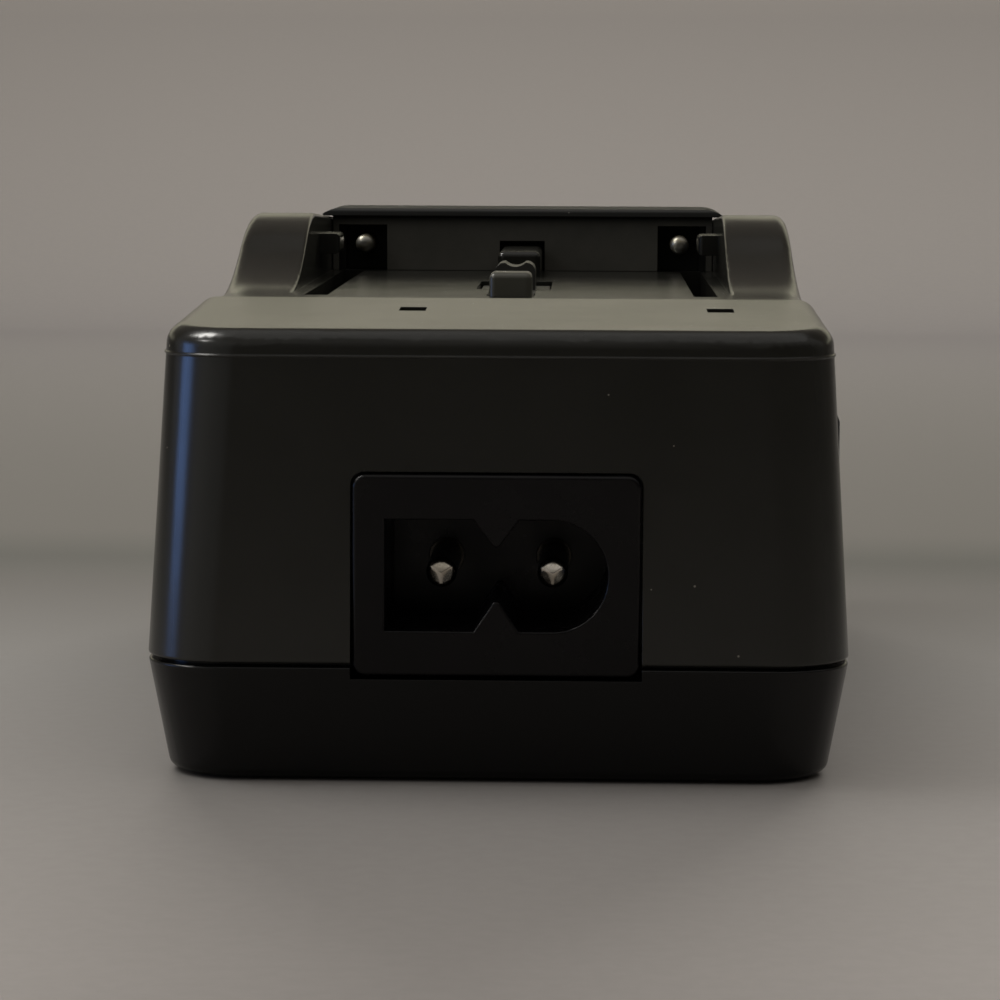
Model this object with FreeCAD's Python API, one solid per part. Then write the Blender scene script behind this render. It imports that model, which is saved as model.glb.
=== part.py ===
import FreeCAD, Part
import math
import os
from FreeCAD import Vector

# Charger for a slide-on camera battery. Millimetres, +Z up, table at z = 0.
# The mains inlet faces -Y, the battery slides on towards +Y, +X is to the right of the inlet.

# Casing
overall_length = 106.0       # along Y, at the seam
overall_width = 54.9         # along X, at the seam
deck_height = 35.0           # deck's front above the table
deck_slope = 2.43            # degrees, the deck rises towards the bay
seam_height = 9.35           # middle of the joint between the shells
seam_gap = 0.3
foot_lift = 0.25             # casing underside above the table
corner_radius = 6.0
wall = 2.0
deck_thickness = 1.8         # at its front, more towards the bay
upper_draft = 3.3            # degrees, upper walls lean inwards
lower_draft = 9.6            # degrees, lower walls lean inwards towards the table
bottom_edge_radius = 0.9
seam_edge_radius = 0.2

# Rounded rim under the deck and the thin bead that ends it
rim_height = 1.86            # from the bead to the deck's front
rim_radius = 1.6
bead_height = 0.22
bead_proud = 0.12
bead_radius = 0.1

# Tongue of the lower shell, inside the upper one
tongue_height = 1.5
tongue_inset = 1.15
tongue_thickness = 0.9
tongue_clearance = 0.1

# Battery bay and the plate that forms it
bay_width = 39.0
bay_front = 28.0             # from the inlet face to the front of the plate
bay_back = 92.0              # from the inlet face to the terminal wall
plate_gap = 0.12             # joint round the plate
floor_drop = 0.52            # bay floor under the deck's crest
ear_height = 6.4             # ears above the bay floor
ear_start = 14.6             # from the plate's front to the foot of the ears' curve
ear_foot_radius = 40.0
ear_crown_radius = 23.4
ear_slope = 26.0             # degrees, steepest part of the ears' front
ear_fall = 2.5               # degrees, the ears' tops fall towards the rear
ear_edge_radius = 1.2
ear_inner_radius = 0.4
ear_wall = 1.8
ear_hollow_setback = 2.0     # the hollow starts this far in front of the ears' highest line
plate_lip_depth = 1.5
plate_lip_thickness = 1.2
shelf_thickness = 2.0        # casing shelf and tabs under the plate
shelf_reach = 4.0            # shelf behind the plate's front
toe_width = 7.0              # hooked toes under the shelf
toe_reach = 1.2
toe_height = 1.1
toe_stem = 1.3
toe_gap = 0.1
toe_x = 9.5
plate_post_radius = 2.2
plate_post_height = 5.6

# Channels beside the bay floor
channel_width = 2.1
channel_ledge = 1.25         # from the ear's inner wall to the channel
channel_depth = 2.6
channel_wall = 1.0
channel_setback = 14.0       # from the plate's front to the channel's end

# Hooks that hold the battery
hook_reach = 2.0
hook_height = 1.95
hook_length = 6.0
hook_level = 2.3             # hook underside above the bay floor
hook_from_wall = 10.5        # from the terminal wall to the hook's rear end
hook_radius = 0.45

# Guide rail
rail_width = 4.15
rail_height = 2.55
rail_length = 15.0           # in front of the terminal wall
rail_radius = 0.6
rail_tail = 1.4              # behind the wall's face

# Catch
catch_from_front = 13.7      # from the plate's front to the nose
nose_width = 3.75
nose_length = 4.2
nose_height = 2.05
nose_radius = 0.55
saddle_width = 3.75
saddle_setback = 18.7        # from the nose's face to the saddle's
saddle_length = 5.0
saddle_height = 2.15
saddle_radius = 0.85
saddle_dip = 0.38
saddle_dip_radius = 1.4
wing_width = 6.36
wing_setback = 12.4
wing_length = 14.7
wing_drop = 0.4              # wings under the bay floor
catch_side_gap = 0.22
catch_end_gap = 0.3
flange_margin = 1.3          # retaining flange beyond the opening
flange_thickness = 1.2
catch_stop_gap = 0.05

# Catch well, spring and retainer
well_wall = 1.3
well_end_wall = 3.4
well_side_gap = 0.3
spring_length = 6.5
spring_radius = 2.5          # to the middle of the wire
spring_wire = 0.55
spring_turns = 4.5
spring_arcs = 4              # arc pairs to a turn
spring_post_radius = 1.7
spring_post_height = 1.5
retainer_thickness = 1.2

# Terminal housing
housing_gap = 0.1
housing_drop = 0.05          # housing's top under the ears' crown
housing_height = ear_height - housing_drop
housing_wall = 1.8
hood_reach = 0.9
hood_height = 1.0
hood_overhang = 0.9          # beyond the ears' inner walls, over their tops
hood_lift = 0.08             # gap between the hood's ends and the ears
hood_tip = 0.2               # height of the hood's end faces
hood_corner_radius = 3.3
hood_edge_radius = 0.4
window_width = 4.95
window_inset = 3.175         # from the ear's inner wall to a window's middle
window_height = 4.65
notch_gap = 0.5              # over the guide rail
notch_side_gap = 0.22
window_depth = 3.8           # from the wall's face to the contact carrier
carrier_thickness = 1.6

# Battery contacts
contact_inset = 3.45         # from the ear's inner wall to a contact's middle
contact_level = 2.75         # above the bay floor
contact_radius = 0.95
contact_reach = 1.8          # in front of the terminal wall
contact_tail = 2.0
contact_collar_radius = 1.7
contact_collar = 0.7
contact_fit = 0.05

# Mains inlet, figure-8 with a square left half
inlet_level = 16.35          # pins above the table
inlet_set_back = 0.25        # front of the moulding behind the casing's front at the seam
flange_width = 22.1
flange_bottom = 8.55
flange_top = 24.1
flange_radius = 1.0
flange_edge_radius = 0.3
flange_gap = 0.16
collar_width = 24.6
collar_rise = 1.3
collar_thickness = 1.6
inlet_body_width = 20.2
inlet_body_height = 11.8
inlet_body_depth = 14.6
socket_height = 8.6
socket_half_width = 8.55
socket_depth = 12.6
socket_round_radius = 4.3
notch_half_width = 1.75
top_notch_depth = 2.1
bottom_notch_depth = 2.3
notch_tip_radius = 0.4
pin_spacing = 8.6
pin_radius = 1.18
pin_tip_radius = 0.75
pin_root_radius = 1.4        # knurled root in the socket's floor
pin_recess = 1.6
pin_tail = 3.2
pin_fit = 0.02

# Indicator windows and their board
lens_width = 2.15
lens_length = 3.0
lens_recess = 0.5
lens_fit = 0.06
lens_flange = 1.0
lens_flange_thickness = 0.8
left_lens_x = -7.35
right_lens_x = 17.6
lens_setback = 18.4          # from the inlet face
lamp_radius = 1.5
lamp_height = 3.4
lamp_gap = 0.3
indicator_board_thickness = 1.2
indicator_board_margin = 3.4
indicator_board_length = 9.0
indicator_boss_radius = 2.2
lamp_leads_x = 0.5

# Side grips
grip_length = 58.0
grip_height = 16.0
grip_crown = 1.5
grip_level = 20.2
grip_recess = 0.6
grip_front = 13.0            # from the inlet face to the grip
grip_fit = 0.05
grip_border = 3.2
grip_groove_pitch = 2.6
grip_groove_width = 1.1
grip_groove_depth = 0.45

# Screws and posts
post_radius = 3.2
post_hole_radius = 1.25
boss_radius = 4.0
boss_hole_radius = 1.45
casing_counterbore_radius = 2.7
casing_counterbore_depth = 2.6
casing_screw_radius = 1.2
casing_screw_length = 15.0
casing_head_radius = 2.3
casing_head_height = 1.5
small_screw_radius = 0.95
small_hole_radius = 1.0
small_screw_length = 5.0
small_head_radius = 1.8
small_head_height = 1.1
cross_width = 0.5
cross_depth = 0.7

# Feet and label place
foot_radius = 4.0
foot_recess = 0.8
foot_fit = 0.1
foot_side_inset = 9.0        # from the casing's side at the seam
foot_end_inset = 17.0        # from the casing's ends at the seam
label_width = 28.0
label_length = 44.0
label_thickness = 0.2
label_recess = 0.25
label_fit = 0.2

# Main board
board_level = 6.0
board_thickness = 1.6
board_side_gap = 1.6
board_front_gap = 1.0        # behind the inlet's pin tails
board_rear_gap = 12.0        # from the object's rear
lead_landing_x = 16.05       # contact leads' landing, from the board's middle
lead_landing_inset = 8.0     # from the board's rear end
standoff_radius = 2.4
standoff_side = 2.8          # from the board's side to a standoff
standoff_end = 3.6

seat = 0.02                  # gap under parts that rest on another
front = -overall_length / 2
rear = overall_length / 2
upper_bottom = seam_height + seam_gap / 2
lower_top = seam_height - seam_gap / 2
upper_lean = math.tan(math.radians(upper_draft))
lower_lean = math.tan(math.radians(lower_draft))
deck_rise = math.tan(math.radians(deck_slope))
floor_level = deck_height + deck_rise * bay_front - floor_drop
rim_base = deck_height - rim_height
shelf_bottom = rim_base - shelf_thickness
floor_underside = rim_base + plate_gap
ear_top = floor_level + ear_height
housing_top = floor_level + housing_height
plate_front = front + bay_front
wall_face = front + bay_back
nose_face = plate_front + catch_from_front
inlet_face = overall_length / 2 - inlet_set_back
window_spacing = bay_width - 2 * window_inset
contact_spacing = bay_width - 2 * contact_inset
pins_x = (-pin_spacing / 2, pin_spacing / 2)
board_top = board_level + board_thickness
board_half_width = overall_width / 2 - wall - board_side_gap - lower_lean * (seam_height - board_level)
board_front = -inlet_face + inlet_body_depth + pin_tail + board_front_gap
board_rear = rear - board_rear_gap


def save(node, shape):
    """Write one sub-part."""
    if not shape.isValid():
        raise ValueError(node + " is not a valid solid")
    shape.exportStep("parts/" + node + ".step")
    print(node, len(shape.Solids), round(shape.Volume, 1))


def box(x0, x1, y0, y1, z0, z1):
    return Part.makeBox(x1 - x0, y1 - y0, z1 - z0, Vector(x0, y0, z0))


def rod(radius, length, x, y, z, direction=Vector(0, 0, 1)):
    return Part.makeCylinder(radius, length, Vector(x, y, z), direction)


def rounded_outline(half_x, half_y, radius, z, middle_y=0.0):
    """Closed rounded rectangle in a level plane."""
    r = min(radius, half_x - 0.01, half_y - 0.01)
    edges = []
    corners = [(1, -1, -90), (1, 1, 0), (-1, 1, 90), (-1, -1, 180)]
    ends = []
    for sx, sy, start in corners:
        centre = Vector(sx * (half_x - r), middle_y + sy * (half_y - r), z)
        arc = Part.ArcOfCircle(
            Part.Circle(centre, Vector(0, 0, 1), r),
            math.radians(start),
            math.radians(start + 90),
        ).toShape()
        ends.append((arc, arc.Vertexes[0].Point, arc.Vertexes[-1].Point))
    for i in range(4):
        edges.append(ends[i][0])
        edges.append(Part.makeLine(ends[i][2], ends[(i + 1) % 4][1]))
    return Part.Wire(Part.__sortEdges__(edges))


def tapered_block(z0, half_x0, half_y0, z1, half_x1, half_y1, radius):
    wires = [
        rounded_outline(half_x0, half_y0, radius, z0),
        rounded_outline(half_x1, half_y1, radius, z1),
    ]
    return Part.makeLoft(wires, True, True)


def upper_half(z, inset, size):
    """Half size of the upper shell at a height, inwards by an inset."""
    return size / 2 - inset - upper_lean * (z - seam_height)


def upper_block(z0, z1, inset):
    radius = max(corner_radius - inset, 0.8)
    return tapered_block(
        z0, upper_half(z0, inset, overall_width), upper_half(z0, inset, overall_length),
        z1, upper_half(z1, inset, overall_width), upper_half(z1, inset, overall_length),
        radius,
    )


def lower_half(z, inset, size):
    return size / 2 - inset - lower_lean * (seam_height - z)


def lower_block(z0, z1, inset):
    radius = max(corner_radius - inset, 0.8)
    return tapered_block(
        z0, lower_half(z0, inset, overall_width), lower_half(z0, inset, overall_length),
        z1, lower_half(z1, inset, overall_width), lower_half(z1, inset, overall_length),
        radius,
    )


def straight_block(z0, z1, inset):
    half_x = overall_width / 2 - inset
    half_y = overall_length / 2 - inset
    radius = max(corner_radius - inset, 0.8)
    return tapered_block(z0, half_x, half_y, z1, half_x, half_y, radius)


def round_edges(shape, radius, chosen):
    """Fillet the edges that the test picks."""
    edges = [edge for edge in shape.Edges if chosen(edge)]
    return shape.makeFillet(radius, edges)


def level_edge(edge, z, tolerance=0.01):
    box_of_edge = edge.BoundBox
    return abs(box_of_edge.ZMin - z) < tolerance and abs(box_of_edge.ZMax - z) < tolerance


def side_profile(points, x0, x1):
    """Prism across X from (y, z) points, straight edges."""
    corners = [Vector(x0, y, z) for y, z in points]
    wire = Part.makePolygon(corners + [corners[0]])
    return Part.Face(wire).extrude(Vector(x1 - x0, 0, 0))


def mirrored(shape):
    return shape.mirror(Vector(0, 0, 0), Vector(1, 0, 0))


def post_places():
    """The four corners where screws join the shells."""
    inset = wall + post_radius + 1.2
    x = overall_width / 2 - inset
    y = overall_length / 2 - inset
    return [(sx * x, sy * y) for sx in (-1, 1) for sy in (-1, 1)]


def plate_screw_places():
    """Two posts inside each ear."""
    x = bay_width / 2 + 2.4
    return [(sx * x, y) for sx in (-1, 1) for y in (rear - wall - 28.0, rear - wall - 13.0)]


def housing_screw_places():
    y = wall_face + window_depth + carrier_thickness + 2.8
    return [(-8.0, y), (8.0, y)]


def foot_places():
    x = overall_width / 2 - foot_side_inset
    y = overall_length / 2 - foot_end_inset
    return [(sx * x, sy * y) for sx in (-1, 1) for sy in (-1, 1)]


def board_screw_places():
    x = board_half_width - standoff_side
    return [
        (-x, board_front + standoff_end),
        (x, board_front + standoff_end),
        (-x, board_rear - standoff_end),
        (x, board_rear - standoff_end),
    ]


def lens_places():
    y = front + lens_setback
    return [(left_lens_x, y), (right_lens_x, y)]


def indicator_board_span():
    """X from, X to, Y from, Y to, and the underside's height."""
    x0 = left_lens_x - indicator_board_margin
    x1 = right_lens_x + indicator_board_margin
    y0 = front + lens_setback - indicator_board_length / 2
    lens_foot = deck_height - deck_thickness - lens_flange_thickness
    z0 = lens_foot - lamp_gap - lamp_height - indicator_board_thickness
    return x0, x1, y0, y0 + indicator_board_length, z0


def indicator_screw_places():
    x0, x1, y0, y1, z0 = indicator_board_span()
    y = (y0 + y1) / 2
    third = (x1 - x0) / 3
    return [(x0 + third + 1.0, y), (x1 - third + 1.0, y)]


def deck_level(y):
    """Height of the deck's slope, which goes on past the bay's front."""
    return deck_height + deck_rise * (y - front)


def in_deck(edge):
    """An edge that lies in the deck's slope."""
    return all(abs(v.Z - deck_level(v.Y)) < 0.01 for v in edge.Vertexes)


def outer_of_upper():
    """Outer form of the upper shell with its bead, before it is hollowed."""
    far = 2 * overall_length
    above = side_profile(
        [(-far, deck_level(-far)), (far, deck_level(far)), (far, far), (-far, far)], -far, far,
    )
    body = upper_block(upper_bottom, deck_level(rear) + 1.0, 0).cut(above)
    body = round_edges(body, rim_radius, in_deck)
    body = round_edges(body, seam_edge_radius, lambda e: level_edge(e, upper_bottom))
    bead = upper_block(rim_base - bead_height, rim_base, -bead_proud)
    rims = lambda e: level_edge(e, rim_base) or level_edge(e, rim_base - bead_height)
    bead = round_edges(bead, bead_radius, rims)
    return body.fuse(bead)


def grip_solid(side, reach, shrink):
    """Oval pad on a side wall; a reach past the crown makes the cutter for its seat."""
    middle_y = front + grip_front + grip_length / 2
    surface = upper_half(grip_level, 0, overall_width)
    half_height = grip_height / 2 - shrink
    half_length = grip_length / 2 - shrink
    outline = rounded_outline(half_height, half_length, half_height, 0.0, middle_y)
    pad = Part.Face(outline).extrude(Vector(0, 0, grip_recess + grip_crown + reach + 2.0))
    pad.rotate(Vector(0, 0, 0), Vector(0, 1, 0), 90.0)
    pad.translate(Vector(surface - grip_recess, 0, grip_level))
    lean = -upper_draft
    pad.rotate(Vector(surface, 0, grip_level), Vector(0, 1, 0), lean)
    return pad if side > 0 else mirrored(pad)


def make_grip(side):
    """Pad with a crowned face and upright grooves inside a plain border."""
    pad = grip_solid(1, 0.0, grip_fit)
    surface = upper_half(grip_level, 0, overall_width)
    half = grip_height / 2
    crown_radius = (half ** 2 + grip_crown ** 2) / (2 * grip_crown)
    centre_x = surface + grip_crown - crown_radius
    middle_y = front + grip_front + grip_length / 2
    along = Vector(0, 1, 0)
    crown = rod(crown_radius, grip_length, centre_x, middle_y - grip_length / 2, grip_level, along)
    end_drop = grip_crown * 0.93
    end_radius = ((grip_length / 2) ** 2 + end_drop ** 2) / (2 * end_drop)
    end_centre = surface + grip_crown - end_radius
    bow = rod(end_radius, 4 * grip_height, end_centre, middle_y, grip_level - 2 * grip_height)
    pad = pad.common(crown).common(bow)
    lower_crown = rod(
        crown_radius - grip_groove_depth, grip_length,
        centre_x, middle_y - grip_length / 2, grip_level, Vector(0, 1, 0),
    )
    lower_bow = rod(
        end_radius - grip_groove_depth, 4 * grip_height,
        end_centre, middle_y, grip_level - 2 * grip_height,
    )
    skin = pad.cut(lower_crown.common(lower_bow))
    inner_half = grip_length / 2 - grip_border
    inner = grip_solid(1, 0.0, grip_border)
    count = int((2 * inner_half - grip_groove_width) / grip_groove_pitch)
    for i in range(count + 1):
        y = middle_y + (i - count / 2) * grip_groove_pitch
        slab = box(
            surface - 1.0, surface + grip_crown + 1.0,
            y - grip_groove_width / 2, y + grip_groove_width / 2,
            grip_level - grip_height, grip_level + grip_height,
        )
        pad = pad.cut(skin.common(slab).common(inner))
    return pad if side > 0 else mirrored(pad)


def inlet_opening():
    """Space that the inlet's flange takes in both shells."""
    half = flange_width / 2 + flange_gap
    low = flange_bottom - flange_gap - 0.12
    high = flange_top + flange_gap
    opening = box(-half, half, front - 1.0, front + wall + 2.5, low, high)
    return round_edges(opening, flange_radius, lambda e: upright_corner(e, half, high))


def upright_corner(edge, half, high):
    """An edge along Y at the opening's top left or top right."""
    b = edge.BoundBox
    along_y = b.YMax - b.YMin > 1.0
    at_top = abs(b.ZMin - high) < 0.01 and abs(b.ZMax - high) < 0.01
    return along_y and at_top and abs(abs(b.XMin) - half) < 0.01


def make_upper_casing():
    shell = outer_of_upper()
    hollow = upper_block(upper_bottom - 1.0, deck_height - deck_thickness, wall)
    shell = shell.cut(hollow)
    rebate = straight_block(
        upper_bottom - 1.0, upper_bottom + tongue_height + tongue_clearance + 0.1,
        tongue_inset - tongue_clearance,
    )
    shell = shell.cut(rebate)
    big = overall_length
    bay = box(-big, big, plate_front, big, 0.0, big)
    shell = shell.cut(upper_block(upper_bottom, rim_base + 1.0, wall).common(bay))
    shell = shell.cut(box(-big, big, plate_front, big, rim_base, big))

    inside = upper_block(upper_bottom, deck_height - 0.5, wall - 0.3)
    shelf = box(-big, big, plate_front - 2.0, plate_front + shelf_reach, shelf_bottom, rim_base)
    web = box(-big, big, plate_front - 2.0, plate_front, shelf_bottom, deck_height - 0.6)
    additions = [shelf.common(inside), web.common(inside)]
    side_x = bay_width / 2 + 0.6
    for x, y in plate_screw_places():
        x0, x1 = (side_x, big) if x > 0 else (-big, -side_x)
        additions.append(box(x0, x1, y - 3.4, y + 3.4, shelf_bottom, rim_base).common(inside))
    for x, y in post_places():
        top = deck_height - deck_thickness + 0.5 if y < 0 else rim_base
        additions.append(rod(post_radius, top - lower_top - 0.05, x, y, lower_top + 0.05))
    x0, x1, y0, y1, z0 = indicator_board_span()
    board_top_here = z0 + indicator_board_thickness
    for x, y in indicator_screw_places():
        length = deck_height - deck_thickness + 0.3 - board_top_here - seat
        additions.append(rod(indicator_boss_radius, length, x, y, board_top_here + seat))
    for addition in additions:
        shell = shell.fuse(addition)

    for x, y in post_places():
        shell = shell.cut(rod(post_hole_radius, casing_screw_length + 1.0, x, y, lower_top - 1.0))
    for x, y in plate_screw_places():
        shell = shell.cut(rod(small_hole_radius + 0.1, 6.0, x, y, shelf_bottom - 1.0))
    for x, y in indicator_screw_places():
        shell = shell.cut(rod(small_hole_radius, small_screw_length, x, y, board_top_here - 0.5))
    for x, y in lens_places():
        shell = shell.cut(box(
            x - lens_width / 2, x + lens_width / 2, y - lens_length / 2, y + lens_length / 2,
            deck_height - deck_thickness - 1.0, deck_level(y) + 1.0,
        ))
    shell = shell.cut(inlet_opening())
    for side in (-1, 1):
        shell = shell.cut(grip_solid(side, 4.0, 0.0))
    return shell.removeSplitter()


def make_lower_casing():
    outer = lower_block(foot_lift, lower_top, 0)
    outer = round_edges(outer, bottom_edge_radius, lambda e: level_edge(e, foot_lift))
    outer = round_edges(outer, seam_edge_radius, lambda e: level_edge(e, lower_top))
    tray = outer.cut(lower_block(foot_lift + wall, lower_top + 1.0, wall))
    tongue = straight_block(lower_top - 2.5, upper_bottom + tongue_height, tongue_inset)
    tongue_hole = straight_block(
        lower_top - 3.0, upper_bottom + tongue_height + 1.0, tongue_inset + tongue_thickness,
    )
    tongue = tongue.cut(tongue_hole)
    keep = lower_block(lower_top - 2.5, lower_top, 0.4)
    above = box(
        -overall_width, overall_width, -overall_length, overall_length, lower_top - 0.01, deck_height,
    )
    tongue = tongue.common(keep.fuse(above))
    tray = tray.fuse(tongue)

    floor_top = foot_lift + wall
    for x, y in post_places():
        clear = rod(post_radius + 0.2, 6.0, x, y, lower_top)
        tray = tray.cut(clear)
        boss = rod(boss_radius, lower_top - foot_lift - 1.2, x, y, foot_lift + 1.2)
        tray = tray.fuse(boss.common(lower_block(foot_lift, lower_top, 0.8)))
    for x, y in board_screw_places():
        tray = tray.fuse(rod(standoff_radius, board_level - floor_top + 0.5, x, y, floor_top - 0.5))
    for x, y in post_places():
        tray = tray.cut(rod(boss_hole_radius, 20.0, x, y, foot_lift - 1.0))
        depth = casing_counterbore_depth + 1.0
        tray = tray.cut(rod(casing_counterbore_radius, depth, x, y, foot_lift - 1.0))
    for x, y in board_screw_places():
        tray = tray.cut(rod(small_hole_radius, 4.0, x, y, board_level - 3.4))
    for x, y in foot_places():
        tray = tray.cut(rod(foot_radius + foot_fit, foot_recess + 1.0, x, y, foot_lift - 1.0))
    tray = tray.cut(box(
        -label_width / 2 - label_fit, label_width / 2 + label_fit,
        -label_length / 2 - label_fit, label_length / 2 + label_fit,
        foot_lift - 1.0, foot_lift + label_recess,
    ))
    tray = tray.cut(inlet_opening())
    return tray.removeSplitter()


def ear_rises():
    """Rise of the S-curve's foot and of its straight part, and the crown's radius."""
    turn = 1 - math.cos(math.radians(ear_slope))
    foot_rise = ear_foot_radius * turn
    straight_rise = max(ear_height - foot_rise - ear_crown_radius * turn, 0.0)
    return foot_rise, straight_rise, (ear_height - foot_rise - straight_rise) / turn


def ear_crown_y():
    """Where the ears are highest."""
    slope = math.radians(ear_slope)
    foot_rise, straight_rise, crown_radius = ear_rises()
    run = (ear_foot_radius + crown_radius) * math.sin(slope) + straight_rise / math.tan(slope)
    return plate_front + ear_start + run


def ear_side_profile(y_end, z_low):
    """Outline of the plate seen from the side, with the ears' S-curved front."""
    slope = math.radians(ear_slope)
    foot_y = plate_front + ear_start
    foot_rise, straight_rise, crown_radius = ear_rises()
    foot_centre = Vector(0, foot_y, floor_level + ear_foot_radius)
    bend_y = foot_y + ear_foot_radius * math.sin(slope)
    bend = Vector(0, bend_y, floor_level + foot_rise)
    foot_middle = foot_centre + Vector(
        0, ear_foot_radius * math.sin(slope / 2), -ear_foot_radius * math.cos(slope / 2)
    )
    rise_end = Vector(0, bend_y + straight_rise / math.tan(slope), bend.z + straight_rise)
    crown_centre = Vector(0, ear_crown_y(), ear_top - crown_radius)
    fall = math.radians(ear_fall)
    middle_turn = (fall - slope) / 2
    crown_middle = crown_centre + Vector(
        0, crown_radius * math.sin(middle_turn), crown_radius * math.cos(middle_turn)
    )
    foot = Vector(0, foot_y, floor_level)
    crown = crown_centre + Vector(0, crown_radius * math.sin(fall), crown_radius * math.cos(fall))
    end_z = crown.z - math.tan(fall) * (y_end - crown.y)
    start = Vector(0, plate_front + plate_gap, floor_level)
    edges = [
        Part.makeLine(start, foot),
        Part.Arc(foot, foot_middle, bend).toShape(),
    ]
    if straight_rise > 0.001:
        edges.append(Part.makeLine(bend, rise_end))
    edges += [
        Part.Arc(rise_end, crown_middle, crown).toShape(),
        Part.makeLine(crown, Vector(0, y_end, end_z)),
        Part.makeLine(Vector(0, y_end, end_z), Vector(0, y_end, z_low)),
        Part.makeLine(Vector(0, y_end, z_low), Vector(0, start.y, z_low)),
        Part.makeLine(Vector(0, start.y, z_low), start),
    ]
    return Part.Wire(edges)


def outer_chain(edge):
    """Edges where the plate's top turns into its outer walls."""
    b = edge.BoundBox
    above = b.ZMin > floor_level - 0.01
    in_front = b.YMax < plate_front + plate_gap + 0.01
    across = b.XMax - b.XMin > bay_width * 0.8 and b.YMin < rear - corner_radius
    upright = b.ZMax - b.ZMin > 3.0 and b.YMax - b.YMin < 1.0
    return above and not in_front and not across and not upright


def ear_form(skin, side):
    """One ear with the strip in front of it, its inner top edge rounded."""
    x0 = bay_width / 2
    ear = skin.common(box(x0, 2 * x0, -overall_length, overall_length, 0, 2 * ear_top))

    def inner_top(edge):
        b = edge.BoundBox
        at_wall = abs(b.XMin - x0) < 0.01 and abs(b.XMax - x0) < 0.01
        return at_wall and b.ZMin > floor_level - 0.01 and b.YMax - b.YMin > 1.0

    ear = round_edges(ear, ear_inner_radius, inner_top)
    return ear if side > 0 else mirrored(ear)


def make_battery_plate():
    outer = upper_block(floor_underside, ear_top + 3.0, 0)
    profile = Part.Face(ear_side_profile(rear + 5.0, floor_underside - 5.0))
    side_form = profile.extrude(Vector(2 * overall_width, 0, 0))
    side_form.translate(Vector(-overall_width, 0, 0))
    skin = round_edges(outer.common(side_form), ear_edge_radius, outer_chain)
    half_floor = bay_width / 2 + ear_inner_radius + 0.3
    floor = skin.common(box(
        -half_floor, half_floor, -overall_length, overall_length, 0, floor_level,
    ))
    plate = floor.fuse(ear_form(skin, 1)).fuse(ear_form(skin, -1)).removeSplitter()

    for side in (-1, 1):
        plate = plate.cut(ear_cavity(side))
    additions = [plate_lip(), catch_well_outer(), rail_solid()]
    for side in (-1, 1):
        additions += [channel_trough(side), hook_solid(side), front_toe(side)]
    for x, y in plate_screw_places():
        additions.append(rod(plate_post_radius, plate_post_height, x, y, floor_underside))
    for addition in additions:
        plate = plate.fuse(addition)

    cutters = [catch_opening(), catch_well_inner()]
    for side in (-1, 1):
        cutters += [channel_space(side), contact_passage(side)]
    for x, y in plate_screw_places():
        cutters.append(rod(small_hole_radius, plate_post_height - 1.0, x, y, floor_underside - 0.5))
    for x, y in housing_screw_places():
        cutters.append(rod(small_hole_radius + 0.1, 12.0, x, y, floor_underside - 5.0))
    for x, y in retainer_screw_places():
        cutters.append(rod(small_hole_radius, small_screw_length, x, y, well_bottom() - 0.5))
    for cutter in cutters:
        plate = plate.cut(cutter)
    return plate.removeSplitter()


def front_toe(side):
    """Hooked toe that holds the plate's front under the casing's shelf."""
    y = plate_front + shelf_reach + toe_gap
    low = shelf_bottom - toe_gap - toe_height
    stem = box(toe_x - toe_width / 2, toe_x + toe_width / 2, y, y + toe_stem, low, floor_underside + 0.5)
    toe = box(
        toe_x - toe_width / 2, toe_x + toe_width / 2, y - toe_reach, y + 0.5,
        low, low + toe_height,
    )
    hook = stem.fuse(toe)
    return hook if side > 0 else mirrored(hook)


def ear_cavity(side):
    """Hollow of an ear, open towards the casing's inside."""
    x0 = bay_width / 2 + ear_wall
    x1 = upper_half(ear_top, 0, overall_width) - ear_wall
    y0 = ear_crown_y() - ear_hollow_setback
    y1 = rear - wall - 3.0
    z1 = ear_top - math.tan(math.radians(ear_fall)) * (y1 - ear_crown_y()) - ear_wall
    cavity = box(x0, x1, y0, y1, floor_underside - 1.0, z1)
    return cavity if side > 0 else mirrored(cavity)


def plate_lip():
    """Locating lip inside the casing's walls."""
    top = floor_level - 0.6
    outer = upper_block(rim_base - plate_lip_depth, top, wall + 0.15)
    inner = upper_block(rim_base - plate_lip_depth - 1.0, top + 1.0, wall + 0.15 + plate_lip_thickness)
    ring = outer.cut(inner)
    keep = box(-100, 100, plate_front + shelf_reach + 1.0, 100, 0, 100)
    ring = ring.common(keep)
    for x, y in plate_screw_places():
        ring = ring.cut(box(
            min(x, 3 * x), max(x, 3 * x), y - 3.7, y + 3.7, 0, rim_base + seat,
        ))
    for x, y in post_places():
        ring = ring.cut(rod(post_radius + 0.25, 60.0, x, y, rim_base + seat - 60.0))
    for x, y in housing_screw_places():
        ring = ring.cut(rod(small_head_radius + 0.3, 60.0, x, y, floor_underside - 60.0))
    return ring


def channel_bounds():
    x1 = bay_width / 2 - channel_ledge
    return x1 - channel_width, x1


def channel_trough(side):
    x0, x1 = channel_bounds()
    trough = box(
        x0 - channel_wall, x1 + channel_wall,
        plate_front + channel_setback - channel_wall, wall_face + 2.0,
        floor_level - channel_depth - channel_wall, floor_underside + 0.5,
    )
    return trough if side > 0 else mirrored(trough)


def channel_space(side):
    x0, x1 = channel_bounds()
    space = box(
        x0, x1, plate_front + channel_setback, wall_face + 1.0,
        floor_level - channel_depth, floor_level + 0.001,
    )
    return space if side > 0 else mirrored(space)


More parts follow.
